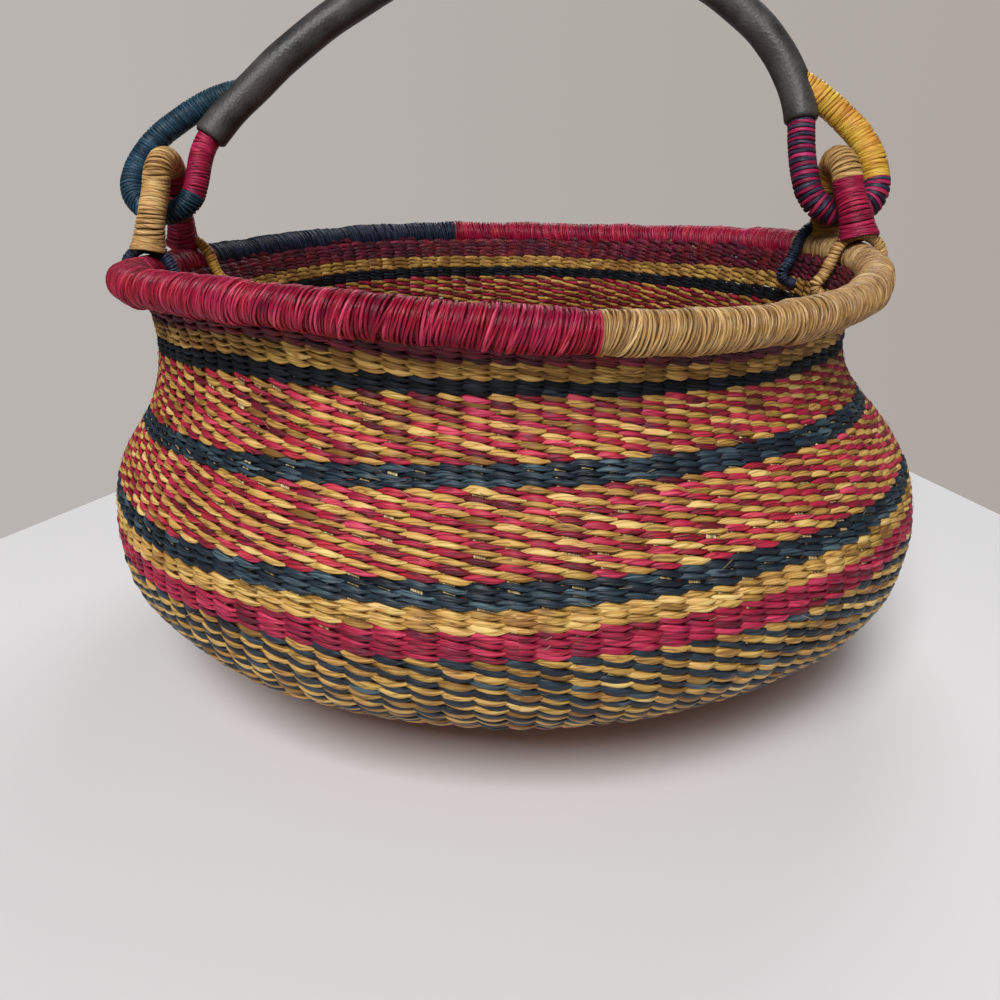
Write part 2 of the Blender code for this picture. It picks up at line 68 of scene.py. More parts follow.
# How far the body is out of true, and between which heights each fault comes in. A wave is its size
# and how often it goes up and down in one round.
RIM_WAVES = ((0.0011, 1), (-0.0028, 2), (-0.0028, 3))
RIM_WAVE_HEIGHT = 0.165
BODY_HEIGHTS = (0.040, 0.090)
TILT = 0.005
TILT_GONE_HEIGHTS = (0.145, 0.180)
SADDLE = 0.003
SADDLE_HEIGHTS = (0.100, 0.140)
LEAN = 0.008
LEAN_HEIGHTS = (0.060, NECK_HEIGHT)


def wall_line():
    """Radius and height of points from the middle of the base out to its edge and up to the mouth."""
    points = [(BASE_RADIUS * step / BASE_STEPS, 0.0) for step in range(BASE_STEPS)]
    for stretch in WALL_KNOTS:
        points += [tuple(p) for p in interpolate_bezier(*(Vector(k) for k in stretch), WALL_STEPS)[:-1]]
    return np.array(points + [WALL_KNOTS[-1][-1]])


def lengths_along(points):
    """How far along a line each of its points lies."""
    return np.concatenate([[0], np.cumsum(np.linalg.norm(np.diff(points, axis=0), axis=1))])


LINE = wall_line()
WALL_LENGTH = float(np.linalg.norm(np.diff(LINE, axis=0), axis=1).sum()) - BASE_RADIUS
# Past the mouth the line runs on into the rim, where the last rows are tucked.
LINE = np.vstack([LINE, UNDER_RIM])
LINE_ALONG = lengths_along(LINE) - BASE_RADIUS
LINE_UP = np.gradient(LINE, LINE_ALONG, axis=0)
LINE_UP /= np.linalg.norm(LINE_UP, axis=1)[:, None]


def eased(value, low, high):
    """0 up to low, 1 from high, and a smooth step between."""
    held = np.clip((value - low) / (high - low), 0, 1)
    return held * held * (3 - 2 * held)


def outwards(angle):
    """The level way out of the basket at an angle."""
    return np.stack([np.sin(angle), -np.cos(angle), 0 * angle], axis=-1)


def placed(radius, height, angle):
    """Points of the leaning, waving body."""
    rim_share = np.clip((height - RIM_WAVE_HEIGHT) / (MOUTH_HEIGHT - RIM_WAVE_HEIGHT), 0, 1)
    rim_wave = sum(size * np.sin(waves * angle) for size, waves in RIM_WAVES)
    tilt = TILT * (1 - eased(height, *TILT_GONE_HEIGHTS)) * np.sin(angle)
    saddle = SADDLE * eased(height, *SADDLE_HEIGHTS) * np.cos(2 * angle)
    body_share = eased(height, *BODY_HEIGHTS) * (1 - rim_share)
    lean = -LEAN * eased(height, *LEAN_HEIGHTS)
    return np.stack([lean + radius * np.sin(angle), -radius * np.cos(angle),
                     height + rim_share * rim_wave + body_share * (tilt + saddle)], axis=-1)


def on_wall(along, angle, depth):
    """Points this far under the wall's outside, with the way out of the wall there."""
    radius = np.interp(along, LINE_ALONG, LINE[:, 0])
    height = np.interp(along, LINE_ALONG, LINE[:, 1])
    up_r = np.interp(along, LINE_ALONG, LINE_UP[:, 0])
    up_z = np.interp(along, LINE_ALONG, LINE_UP[:, 1])
    points = placed(radius - up_z * depth, height + up_r * depth, angle)
    return points, np.stack([up_z * np.sin(angle), -up_z * np.cos(angle), -up_r], axis=-1)


# The grass
#
# Elephant grass is split, dyed in the bunch and rolled into strands, so colour changes from strand
# to strand and in fine streaks along each one. Painted shade darkens folds and where strands touch.
STREAKS_PER_METRE = 110.0
STREAKS_ROUND = 11.0
ROLLED = 16.0
STRAND_SHIFT = 57.0
FOLD_SCALE = 0.42
FOLD_SHARPNESS = 16.0
# How much painted shade darkens the folds.
PAINTED_FOLD_SHADE = 0.45
# Painted shade on each strand's two sides, where its neighbours touch it.
TOUCH_SHARPNESS = 7.0
PAINTED_TOUCH_SHADE = 0.45
PATCH_SCALE = 75.0
PATCH_SHARE = 0.3
DYE_STOPS = (0.24, 0.5, 0.74)
GLOSS_SPREAD = 0.12
GRASS_RELIEF = 0.0005


def colour(red, green, blue):
    """A colour as written in eight-bit sRGB, as the shader wants it."""
    return [c / 12.92 if c <= 0.04045 else ((c + 0.055) / 1.055) ** 2.4
            for c in (red / 255, green / 255, blue / 255)] + [1.0]


def new_material(name, tone):
    """A new material with its nodes, its links and its shader."""
    made = bpy.data.materials.new(name)
    made.use_nodes = True
    made.diffuse_color = tone
    return made, made.node_tree.nodes, made.node_tree.links, made.node_tree.nodes["Principled BSDF"]


def noise(nodes, links, place, scale, detail, roughness=0.5):
    """Cloudy noise, read at a place."""
    node = nodes.new("ShaderNodeTexNoise")
    node.inputs["Scale"].default_value = scale
    node.inputs["Detail"].default_value = detail
    node.inputs["Roughness"].default_value = roughness
    links.new(place, node.inputs["Vector"])
    return node.outputs["Fac"]


def stretched(nodes, links, value, low, high, from_low=0.0, from_high=1.0):
    """A value carried over from one range to another."""
    node = nodes.new("ShaderNodeMapRange")
    node.inputs["From Min"].default_value = from_low
    node.inputs["From Max"].default_value = from_high
    node.inputs["To Min"].default_value = low
    node.inputs["To Max"].default_value = high
    links.new(value, node.inputs["Value"])
    return node.outputs["Result"]


def tinted(nodes, links, value, *stops):
    """The colour that belongs to a value, between stops that are each a value and its colour."""
    node = nodes.new("ShaderNodeValToRGB")
    elements = node.color_ramp.elements
    for number, (place, tone) in enumerate(stops):
        element = elements[number] if number < 2 else elements.new(place)
        element.position = place
        element.color = tone
    links.new(value, node.inputs["Fac"])
    return node.outputs["Color"]


def raised(nodes, links, shader, height, strength, distance):
    """Fine relief on a shader, as high as the height value says."""
    node = nodes.new("ShaderNodeBump")
    node.inputs["Strength"].default_value = strength
    node.inputs["Distance"].default_value = distance
    links.new(height, node.inputs["Height"])
    links.new(node.outputs["Normal"], shader.inputs["Normal"])


def grass(name, dark, middle, light, roughness=0.50, streak=0.5, shine=0.36, hues=0.018):
    """Rolled grass: a colour for each strand, twisted streaks and folds along it, uneven dye and painted
    shade in folds and where strands touch.
    """
    made, nodes, links, shader = new_material(name, colour(*middle))

    def sum_of(operation, first, second=None, third=None):
        """A node that works on its inputs, each a number or the output of another node."""
        node = nodes.new("ShaderNodeMath")
        node.operation = operation
        for socket, value in zip(node.inputs, (first, second, third)):
            if value is None:
                continue
            if isinstance(value, (int, float)):
                socket.default_value = value
            else:
                links.new(value, socket)
        return node.outputs[0]

    shader.inputs["Specular IOR Level"].default_value = shine
    strand = nodes.new("ShaderNodeUVMap")
    strand.uv_map = "strand"
    split = nodes.new("ShaderNodeSeparateXYZ")
    links.new(strand.outputs["UV"], split.inputs[0])
    along, around = split.outputs["X"], split.outputs["Y"]
    shade = nodes.new("ShaderNodeAttribute")
    shade.attribute_name = "shade"
    tone = shade.outputs["Fac"]

    place = nodes.new("ShaderNodeCombineXYZ")
    rolled = sum_of("MULTIPLY_ADD", along, ROLLED, around)
    links.new(sum_of("MULTIPLY", along, STREAKS_PER_METRE), place.inputs["X"])
    links.new(sum_of("MULTIPLY", rolled, STREAKS_ROUND), place.inputs["Y"])
    links.new(sum_of("MULTIPLY", tone, STRAND_SHIFT), place.inputs["Z"])
    fibre = noise(nodes, links, place.outputs[0], 1.0, 3.0, 0.6)
    fold = noise(nodes, links, place.outputs[0], FOLD_SCALE, 1.0)
    off_fold = sum_of("ABSOLUTE", sum_of("SUBTRACT", fold, 0.5))
    ridge = sum_of("MINIMUM", sum_of("MULTIPLY", off_fold, FOLD_SHARPNESS), 1.0)
    where = nodes.new("ShaderNodeTexCoord")
    patch = noise(nodes, links, where.outputs["Object"], PATCH_SCALE, 4.0)

    mixed = sum_of("MULTIPLY_ADD", fibre, streak, sum_of("MULTIPLY", tone, 1.0 - streak))
    faded = sum_of("MULTIPLY_ADD", patch, PATCH_SHARE, sum_of("SUBTRACT", mixed, PATCH_SHARE / 2))
    # Painted shade darkens the folds.
    folded = sum_of("MULTIPLY", faded, sum_of("MULTIPLY_ADD", ridge, PAINTED_FOLD_SHADE, 1.0 - PAINTED_FOLD_SHADE))
    # Painted shade darkens each strand's two sides, where its neighbours touch it.
    off_crest = sum_of("ABSOLUTE", sum_of("SUBTRACT", around, 0.5))
    off_side = sum_of("ABSOLUTE", sum_of("SUBTRACT", off_crest, 0.25))
    clear_of_painted_touch_shade = sum_of("MINIMUM", sum_of("MULTIPLY", off_side, TOUCH_SHARPNESS), 1.0)
    # dye is the strand's colour value with the painted shade of folds and touching sides in it.
    dye = sum_of("MULTIPLY", folded, sum_of("MULTIPLY_ADD", clear_of_painted_touch_shade, PAINTED_TOUCH_SHADE, 1.0 - PAINTED_TOUCH_SHADE))

    dyed = nodes.new("ShaderNodeHueSaturation")
    stops = zip(DYE_STOPS, (colour(*dark), colour(*middle), colour(*light)))
    links.new(tinted(nodes, links, dye, *stops), dyed.inputs["Color"])
    links.new(stretched(nodes, links, patch, 0.5 - hues, 0.5 + hues, 0.3, 0.7), dyed.inputs["Hue"])
    links.new(dyed.outputs["Color"], shader.inputs["Base Color"])
    links.new(stretched(nodes, links, fibre, roughness + GLOSS_SPREAD, roughness - GLOSS_SPREAD),
              shader.inputs["Roughness"])
    raised(nodes, links, shader, sum_of("MULTIPLY_ADD", ridge, 0.5, fibre), 0.8, GRASS_RELIEF)
    return made


CRIMSON = grass("crimson weft", (78, 6, 24), (176, 30, 60), (222, 82, 108), hues=0.008)
DEEP_CRIMSON = grass("deep crimson weft", (84, 4, 28), (166, 20, 60), (210, 62, 98), hues=0.006)
MAGENTA = grass("dark crimson weft", (48, 5, 20), (108, 20, 40), (158, 42, 68))
GOLD = grass("gold weft", (124, 86, 32), (206, 160, 82), (236, 202, 132), hues=0.012)
NAVY = grass("navy weft", (8, 14, 24), (30, 46, 58), (78, 100, 108), roughness=0.44)
# A darker copy of the navy for the band under the rim: painted shade.
SHADED_NAVY = grass("navy weft in painted shade", (4, 7, 12), (18, 24, 32), (44, 56, 66), roughness=0.50, shine=0.2)
NATURAL = grass("natural weft", (168, 134, 80), (212, 184, 128), (238, 218, 172))
STALK = grass("bare stalk", (140, 110, 64), (204, 176, 122), (238, 222, 184), roughness=0.6)


# Twined rows
#
# Two strands go round together and cross between every two stakes, so each stake is passed by one
# strand outside and the other inside. Rows are beaten down tight, and every stitch falls to the right.
STAKES = 112
STAKE_CROWDING = 0.010
STAKE_LEAN = 0.05

# A stitch, as shares of its row's height and, along the row, in radians of the strands' twist.
STITCH_FALL = 0.28
STITCH_DROP = 0.06
STITCH_HALF = 0.61
STITCH_LEAST_HALF = 0.28
STITCH_OVER = 0.40
STITCH_TIP = 0.58
STITCH_TIP_LENGTHS = (0.85, 0.55)
STITCH_HEAD = 0.20
STITCH_HEAD_LENGTH = 0.75
STITCH_CHANGE = 0.1
STITCH_SHOWN = 0.41

# How far a stitch goes out of the wall's middle, how thick it is and how much thinner at its ends.
STITCH_OUT = 0.00122
STITCH_OUT_POWER = 0.85
STITCH_PROUD = 0.00022
STITCH_THICK = 0.00100
STITCH_THINNER_SHARE = 0.15
STITCH_NOTCH = 0.12

# How unlike each other rows and stitches are. A row's waver is its size in radians of twist, how
# often it comes in one round and how far it moves on from row to row.
ROW_STRAY = 0.04
ROW_SHIFT = 0.09
ROW_WAVERS = ((0.10, 5, 2.3), (0.10, 13, 4.1), (0.08, 29, 1.7))
PLUMP_SPREAD = 0.13
PLUMP_LIMITS = (0.74, 1.25)
NUDGE_SPREAD = 0.09
PROUD_SPREAD = 0.00014
TONE_SPREAD = 0.2

# How the rows wander up the wall and out of it. A wave is its size, how often it comes in one round,
# how it turns up the wall, and where it starts.
ROW_RISES = ((0.00055, 3, 31, 0.6), (0.00040, 7, -47, 0.0), (0.00022, 17, 90, 2.0))
ROW_SWELLS = ((0.00050, 4, 23, 1.1), (0.00035, 9, -61, 0.4), (0.00020, 23, 130, 0.0))
WANDER_ON_BASE = 0.2
WANDER_LENGTHS = (-0.005, 0.060)

hand = np.random.default_rng(7)


def unit(vectors):
    return vectors / np.maximum(np.linalg.norm(vectors, axis=-1, keepdims=True), 1e-12)


class Strands:
    """Gathers swept strands and makes one mesh of them."""

    def __init__(self):
        self.points, self.faces, self.maps, self.shades, self.dyes = [], [], [], [], []
        self.count = 0

    def add(self, centres, across, outward, shade, dye, is_ring=False, sides=8, notch=0.0):
        """Sweeps an oval along centres. across and outward are its half axes at each centre."""
        total = len(centres)
        shades, dyes = np.broadcast_to(shade, total), np.broadcast_to(dye, total)
        angles = np.arange(sides) * 2 * math.pi / sides - math.pi / 2
        groove = 1 - notch * np.exp(-(np.cos(angles) / 0.45) ** 2) * (np.sin(angles) > 0)
        ring = (centres[:, None] + across[:, None] * np.cos(angles)[None, :, None]
                + outward[:, None] * (np.sin(angles) * groove)[None, :, None])
        rows = np.arange(total if is_ring else total - 1)
        nexts = (rows + 1) % total
        columns = np.arange(sides)
        turned = (columns + 1) % sides
        corners = [rows[:, None] * sides + columns, rows[:, None] * sides + turned,
                   nexts[:, None] * sides + turned, nexts[:, None] * sides + columns]
        length = lengths_along(centres)
        step = np.where(nexts > rows, length[nexts] - length[rows], length[1] - length[0])
        u = np.broadcast_to(length[rows][:, None], (len(rows), sides))
        u_next = np.broadcast_to((length[rows] + step)[:, None], (len(rows), sides))
        v = np.broadcast_to(columns / sides, (len(rows), sides))
        v_next = np.broadcast_to((columns + 1) / sides, (len(rows), sides))
        places = [np.stack(pair, -1) for pair in ((u, v), (u, v_next), (u_next, v_next), (u_next, v))]
        self.points.append(ring.reshape(-1, 3))
        self.faces.append(np.stack(corners, axis=-1).reshape(-1, 4) + self.count)
        self.maps.append(np.stack(places, axis=2).reshape(-1, 2))
        self.shades.append(np.repeat(shades, sides))
        self.dyes.append(np.repeat(dyes[rows], sides))
        self.count += total * sides
        if not is_ring:
            self.cap(ring[0], centres[0], shades[0], dyes[0], -1)
            self.cap(ring[-1], centres[-1], shades[-1], dyes[-1], 1)

    def cap(self, ring, centre, shade, dye, facing):
        """Closes a strand's end with a fan of quads about its middle, facing back (-1) or on (1)."""
        sides = len(ring)
        quads = [[k, (k + 1) % sides, (k + 2) % sides, sides][::facing] for k in range(0, sides, 2)]
        self.points.append(np.vstack([ring, centre]))
        self.faces.append(np.array(quads) + self.count)
        self.maps.append(np.zeros((len(quads) * 4, 2)))
        self.shades.append(np.full(sides + 1, shade))
        self.dyes.append(np.full(len(quads), dye))
        self.count += sides + 1

    def piece(self, name, materials, body, slot, *nodes):
        """The one mesh object of all the strands, riding on its body in place of its nodes."""
        points = np.vstack(self.points).astype(np.float32)
        faces = np.vstack(self.faces).astype(np.int32)
        mesh = bpy.data.meshes.new(name)
        mesh.vertices.add(len(points))
        mesh.vertices.foreach_set("co", points.ravel())
        mesh.loops.add(faces.size)
        mesh.loops.foreach_set("vertex_index", faces.ravel())
        mesh.polygons.add(len(faces))
        mesh.polygons.foreach_set("loop_start", np.arange(0, faces.size, 4, dtype=np.int32))
        mesh.polygons.foreach_set("material_index", np.concatenate(self.dyes).astype(np.int32))
        mesh.update(calc_edges=True)
        mesh.shade_smooth()
        layer = mesh.uv_layers.new(name="strand")
        layer.data.foreach_set("uv", np.vstack(self.maps).astype(np.float32).ravel())
        shade = mesh.attributes.new("shade", "FLOAT", "POINT")
        shade.data.foreach_set("value", np.concatenate(self.shades).astype(np.float32))
        for material in materials:
            mesh.materials.append(material)
        made = bpy.data.objects.new(name, mesh)
        bpy.context.scene.collection.objects.link(made)
        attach(made, body)
        if nodes:
            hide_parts(*nodes)


def settle(along, angle):
    """How far the rows wander up and down the wall and in and out of it, by hand and by use."""
    rise, swell = (sum(size * np.sin(waves * angle + turning * along + start)
                       for size, waves, turning, start in table) for table in (ROW_RISES, ROW_SWELLS))
    wander = WANDER_ON_BASE + (1 - WANDER_ON_BASE) * eased(along, *WANDER_LENGTHS)
    return rise * wander, swell * wander


def stake_angle(along, angle):
    """Stakes lean and crowd a little on their way up."""
    return (angle + STAKE_CROWDING * np.sin(5 * angle + 9 * along)
            + STAKE_LEAN * along * np.sin(2 * angle + 0.8))


def softened(values):
    """Each point's value run a little into its neighbours', round a ring."""
    return (np.roll(values, 1) + 2 * values + np.roll(values, -1)) / 4


def twined_rows(strands, low, high, rows, dyes, stitches=STAKES, fine=6, sides=8, first_row=0, full=1.0,
                bright=0.5):
    """Rows between two lengths along the wall. dyes are the two strands' material numbers."""
    pitch = (high - low) / rows
    spread = 2 * math.pi * np.arange(stitches * fine) / (stitches * fine)
    pairs = stitches // 2
    for row in range(rows):
        along = low + (row + 0.5) * pitch + hand.normal(0, ROW_STRAY * pitch)
        waver = ROW_SHIFT * hand.normal()
        for size, waves, moving in ROW_WAVERS:
            waver = waver + size * np.sin(waves * spread + moving * row)
        for strand in (0, 1):
            turn = spread * stitches / 2 + math.pi * (strand + row + first_row) + waver
            # The stitch outside has its own fullness, place and tone, and so has the stretch inside.
            cycle = (turn - STITCH_CHANGE) / (2 * math.pi)
            outside = np.rint(cycle).astype(int)
            stitch_of = np.where(np.abs(cycle - outside) < STITCH_SHOWN, outside % pairs,
                                 np.floor(cycle).astype(int) % pairs + pairs)
            plump = np.clip(1 + PLUMP_SPREAD * hand.normal(size=stitches), *PLUMP_LIMITS)
            plump = full * softened(plump[stitch_of])
            nudge = NUDGE_SPREAD * pitch * softened(hand.normal(size=stitches)[stitch_of])
            proud = PROUD_SPREAD * softened(hand.normal(size=stitches)[stitch_of])
            tone = softened(np.clip(hand.normal(bright, TONE_SPREAD, size=stitches), 0, 1)[stitch_of])
            over = np.cos(turn - STITCH_OVER)
            angle = stake_angle(along, spread)
            rise, swell = settle(along, angle)
            fall = -pitch * (STITCH_FALL * np.sin(turn) + STITCH_DROP * np.sin(turn) ** 2)
            out_by = (STITCH_OUT * np.sign(over) * np.abs(over) ** STITCH_OUT_POWER + STITCH_PROUD + swell
                      + proud)
            points, out = on_wall(along + (fall + rise + nudge), angle, WALL / 2)
            points = points + out * out_by[:, None]
            way = unit(np.roll(points, -1, axis=0) - np.roll(points, 1, axis=0))
            across = unit(np.cross(out, way))
            outward = np.cross(way, across)
            past = (turn - STITCH_OVER + math.pi / 2) % (2 * math.pi) - math.pi
            ahead = (turn + 3 * math.pi / 2) % (2 * math.pi) - math.pi
            taper = (1 - STITCH_TIP * np.exp(-(past / np.where(past < 0, *STITCH_TIP_LENGTHS)) ** 2)
                     - STITCH_HEAD * np.exp(-(ahead / STITCH_HEAD_LENGTH) ** 2))
            half = pitch * np.maximum(STITCH_HALF * taper * plump, STITCH_LEAST_HALF)
            thick = STITCH_THICK * (1 - STITCH_THINNER_SHARE + STITCH_THINNER_SHARE * np.abs(np.cos(turn)))
            strands.add(points, across * half[:, None], outward * thick[:, None], tone, dyes[strand],
                        is_ring=True, sides=sides, notch=STITCH_NOTCH)


# Start and flat base
#
# The start is a small round of crossed stalks. Stakes are added as the flat base grows, so its rows
# have few stitches near the middle and the full number of stakes at its edge.
START_RADIUS = 0.030
START_BUNDLES = 10
BUNDLE_HALF_WIDTH = 0.0016
BUNDLE_HALF_HEIGHT = 0.0010
BUNDLE_INSET = 0.0008
BUNDLE_BOW = 0.00036
BUNDLE_STEP = 0.0005
START_HOLE = 0.0045
START_PITCH = 0.0028
START_STITCHES = (10, 10, 10, 20, 20, 20, 20, 20, 20)
BASE_ROUNDS = ((0.0303, 0.050, 7, 40), (0.050, 0.072, 7, 60), (0.072, 0.0990, 9, 120))

start = Strands()
for bundle in range(START_BUNDLES):
    lie = math.pi * bundle / START_BUNDLES
    above = bundle % 2 * 2 - 1
    reach = np.linspace(-START_RADIUS + BUNDLE_INSET, START_RADIUS - BUNDLE_INSET, 15)
    bow = BUNDLE_BOW * above * np.cos(reach / START_RADIUS * math.pi * 1.5)
    middle = np.stack([reach * math.cos(lie), reach * math.sin(lie), WALL / 2 + bow + BUNDLE_STEP * above],
                      axis=-1)
    start.add(middle, np.tile([-math.sin(lie), math.cos(lie), 0], (len(reach), 1)) * BUNDLE_HALF_WIDTH,
              np.tile([0, 0, BUNDLE_HALF_HEIGHT], (len(reach), 1)), 0.3 + 0.04 * bundle, 0)
for ring, stitches in enumerate(START_STITCHES):
    inner = -BASE_RADIUS + START_HOLE + ring * START_PITCH
    outer = -BASE_RADIUS + START_HOLE + (ring + 1) * START_PITCH
    twined_rows(start, inner, outer, 1, (1, 1), stitches=stitches, sides=6, first_row=ring)
start.piece("woven_start", (STALK, NATURAL), "basket", "natural_grass", "base_start")

base = Strands()
for inner, outer, rows, stitches in BASE_ROUNDS:
    twined_rows(base, inner - BASE_RADIUS, outer - BASE_RADIUS, rows, (0, 1), stitches=stitches, fine=4,
                sides=6)
base.piece("woven_base", (CRIMSON, GOLD), "basket", "crimson_and_gold_grass", "base_rows")


# Wall, band by band
#
# From the base's edge: two-tone rows round the curve, navy and gold on the underside of the belly,
# then narrow bands of one colour between wide two-tone ones, up to dark crimson rows under the rim.
# Each band: name, where it ends as a share of the wall, rows, how full and how bright its strands
# are, node, slot and the grass of its strands. From the shoulder up the strands are darker: painted
# shade under the rim.
BANDS = (
    ("base_curve", 0.375, 31, 1.0, 0.5, "base_curve_rows", "crimson_and_gold_grass", (CRIMSON, GOLD)),
    ("lower_two_tone", 0.562, 16, 1.02, 0.4, "lower_two_tone_rows", "navy_and_gold_grass", (NAVY, GOLD)),
    ("lower_crimson", 0.604, 4, 0.95, 0.5, "lower_crimson_band", "crimson_grass", (DEEP_CRIMSON,)),
    ("lower_gold", 0.635, 3, 0.95, 0.5, "lower_gold_band", "gold_grass", (GOLD,)),
    ("lower_navy", 0.670, 3, 0.80, 0.5, "lower_navy_band", "navy_grass", (NAVY,)),
    ("belly_two_tone", 0.788, 12, 0.92, 0.5, "belly_two_tone_rows", "crimson_and_gold_grass",
     (CRIMSON, GOLD)),
    ("middle_navy", 0.820, 3, 0.86, 0.5, "middle_navy_band", "navy_grass", (NAVY,)),
    # Painted shade under the rim: darker strands from here up, and a shaded navy in the upper navy band.
    ("shoulder_two_tone", 0.9135, 10, 1.0, 0.39, "shoulder_two_tone_rows", "crimson_and_gold_grass",
     (CRIMSON, GOLD)),
    ("upper_navy", 0.937, 3, 1.12, 0.4, "upper_navy_band", "navy_grass", (SHADED_NAVY,)),
    ("upper_gold", 0.9635, 3, 1.06, 0.24, "upper_gold_band", "gold_grass", (GOLD,)),
    ("upper_crimson", 1.0, 4, 1.08, 0.36, "upper_crimson_rows", "dark_crimson_grass", (MAGENTA,)),
)

below = 0.0
row_count = 0
for name, top_share, rows, full, bright, node, slot, weft in BANDS:
    above = top_share * WALL_LENGTH
    # The curve under the belly hardly shows, so its strands are drawn coarser.
    fine, sides = (5, 6) if name == "base_curve" else (8, 8)
    band = Strands()
    twined_rows(band, below, above, rows, (0, len(weft) - 1), fine=fine, sides=sides, first_row=row_count,
                full=full, bright=bright)
    band.piece(f"{name}_weave", weft, "basket", slot, node)
    below = above
    row_count += rows


# Last rows
#
# The last two rows of the wall, of the same dark crimson grass, are pushed up under the binding of the
# rim, so nothing shows between wall and rim.
TUCK_LAP = 0.0006
TUCK_REACH = 0.0056

tucked = Strands()
twined_rows(tucked, WALL_LENGTH - TUCK_LAP, WALL_LENGTH + TUCK_REACH, 2, (0, 0), first_row=row_count)
tucked.piece("last_rows_under_rim", (MAGENTA,), "basket", "dark_crimson_grass")


# Stakes
#
# Stiff undyed stalks stand in the middle of the wall, five side by side for each stitch of a row, held
# by nothing but the rows. They show as pale ticks where the rows sit loose.
STALK_RADIUS = 0.00062
STALKS_APART = 0.00100
STALK_STRAY = 0.0001
STAKE_FOOT = -0.026
STAKE_PAST_MOUTH = 0.005

stakes = Strands()
stake_along = np.linspace(STAKE_FOOT, WALL_LENGTH + STAKE_PAST_MOUTH, 41)
for stake in range(STAKES):
    angle = stake_angle(stake_along, 2 * math.pi * stake / STAKES)
    _, swell = settle(stake_along, angle)
    points, out = on_wall(stake_along, angle, WALL / 2)
    way = unit(np.gradient(points, axis=0))
    side_way = unit(np.cross(way, out))
    for stalk in (-2, -1, 0, 1, 2):
        aside = stalk * STALKS_APART * (0.9 + 0.1 * np.sin(stake_along * 90 + stake + stalk))
        aside *= np.interp(stake_along, LINE_ALONG, LINE[:, 0]) / BELLY_RADIUS
        proud = swell + STITCH_PROUD + STALK_STRAY * hand.normal()
        stakes.add(points + out * proud[:, None] + side_way * aside[:, None], side_way * STALK_RADIUS,
                   np.cross(side_way, way) * STALK_RADIUS, float(hand.uniform(0.3, 0.9)), 0, sides=6)
stakes.piece("stakes", (STALK,), "basket", "grass_stalks")


# Loose fibres
#
# Fine fibres have worked loose all over the weave, most of them where the strands rub. Each is still
# held at one end and stands a little off the wall at the other.
FIBRES = 420
FIBRE_WALL_SHARES = (0.50, 0.93)
FIBRE_LENGTHS = (0.002, 0.007)
FIBRE_RADII = (0.00007, 0.00013)
FIBRE_SLANT = 0.35
FIBRE_ARCH = 0.0006
FIBRE_END_LIFT = 0.0007
FIBRE_DEPTH = 0.0003
FIBRE_WALL_RADIUS = 0.20

fuzz = Strands()
for fibre in range(FIBRES):
    high_up = hand.uniform(*FIBRE_WALL_SHARES) * WALL_LENGTH
    place = hand.uniform(0, 2 * math.pi)
    length = hand.uniform(*FIBRE_LENGTHS)
    run = np.linspace(-0.5, 0.5, 6)
    aslant = hand.normal(0, FIBRE_SLANT)
    lift = hand.uniform(0, FIBRE_ARCH) * (1 - (2 * run) ** 2) + hand.uniform(0, FIBRE_END_LIFT) * run
    _, swell = settle(high_up, place)
    points, out = on_wall(high_up + run * length * aslant, place + run * length / FIBRE_WALL_RADIUS,
                          FIBRE_DEPTH)
    points = points + out * (lift + swell)[:, None]
    way = unit(np.gradient(points, axis=0))
    across = unit(np.cross(out, way))
    thin = hand.uniform(*FIBRE_RADII)
    fuzz.add(points, across * thin, np.cross(way, across) * thin, float(hand.uniform(0.3, 1)), 0, sides=4)
fuzz.piece("loose_fibres", (STALK,), "basket", "natural_grass")


# Rim
#
# The stakes' ends are bent over and gathered into a round bundle, bound all the way round with
# strands of dyed grass laid close and aslant, each turn half lapping the last.
RIM_RADIUS = 0.190
RIM_HEIGHT = 0.204
RIM_TUBE_RADIUS = 0.0085
RIM_TURN = 0.00142
RIM_STRAND_HALF = 0.00070
RIM_STRAND_THICK = 0.00100
RIM_LEAN = -0.0020
RIM_STALKS = 8
RIM_STALK_RADIUS = 0.0021
RIM_STALK_REACH = 0.0047

# Lumps of the bundle: size, and each wave's share, how often it comes in one round and its start. They
# fade out between two angles from the ears.
RIM_LUMP = 0.035
RIM_LUMP_WAVES = ((1.0, 19, 0.7), (0.7, 31, 0.0), (0.6, 47, 2.0))
EARS_ANGLE = math.radians(96)
LUMP_ANGLES = (math.radians(12), math.radians(24))

RIM_NATURAL = grass("natural binding", (108, 72, 28), (184, 141, 82), (236, 200, 144), roughness=0.42,
                    streak=0.62, shine=0.6, hues=0.006)
RIM_BACK_CRIMSON = grass("back crimson binding", (104, 2, 30), (176, 18, 62), (222, 66, 104), roughness=0.40,
                         shine=0.42, hues=0.008)
RIM_NAVY = grass("navy binding", (12, 16, 32), (36, 46, 70), (70, 88, 116), roughness=0.44, streak=0.62)
RIM_FRONT_CRIMSON = grass("crimson binding", (92, 0, 24), (158, 10, 50), (230, 84, 122), roughness=0.36,
                          shine=0.34, hues=0.008)
RIM_BINDINGS = (
    ("rim_natural", 11.25, 108.75, "natural_grass", RIM_NATURAL),
    ("rim_back_crimson", 108.75, 191.25, "crimson_grass", RIM_BACK_CRIMSON),
    ("rim_navy", 191.25, 251.25, "navy_grass", RIM_NAVY),
    ("rim_front_crimson", 251.25, 371.25, "crimson_grass", RIM_FRONT_CRIMSON),
)

# A wider strand at the darkest tone of its grass lies under every binding and fills the gaps between
# its turns with painted shade.
UNDER_TURN = 0.0020
UNDER_HALF = 0.00125
UNDER_THICK = 0.0005

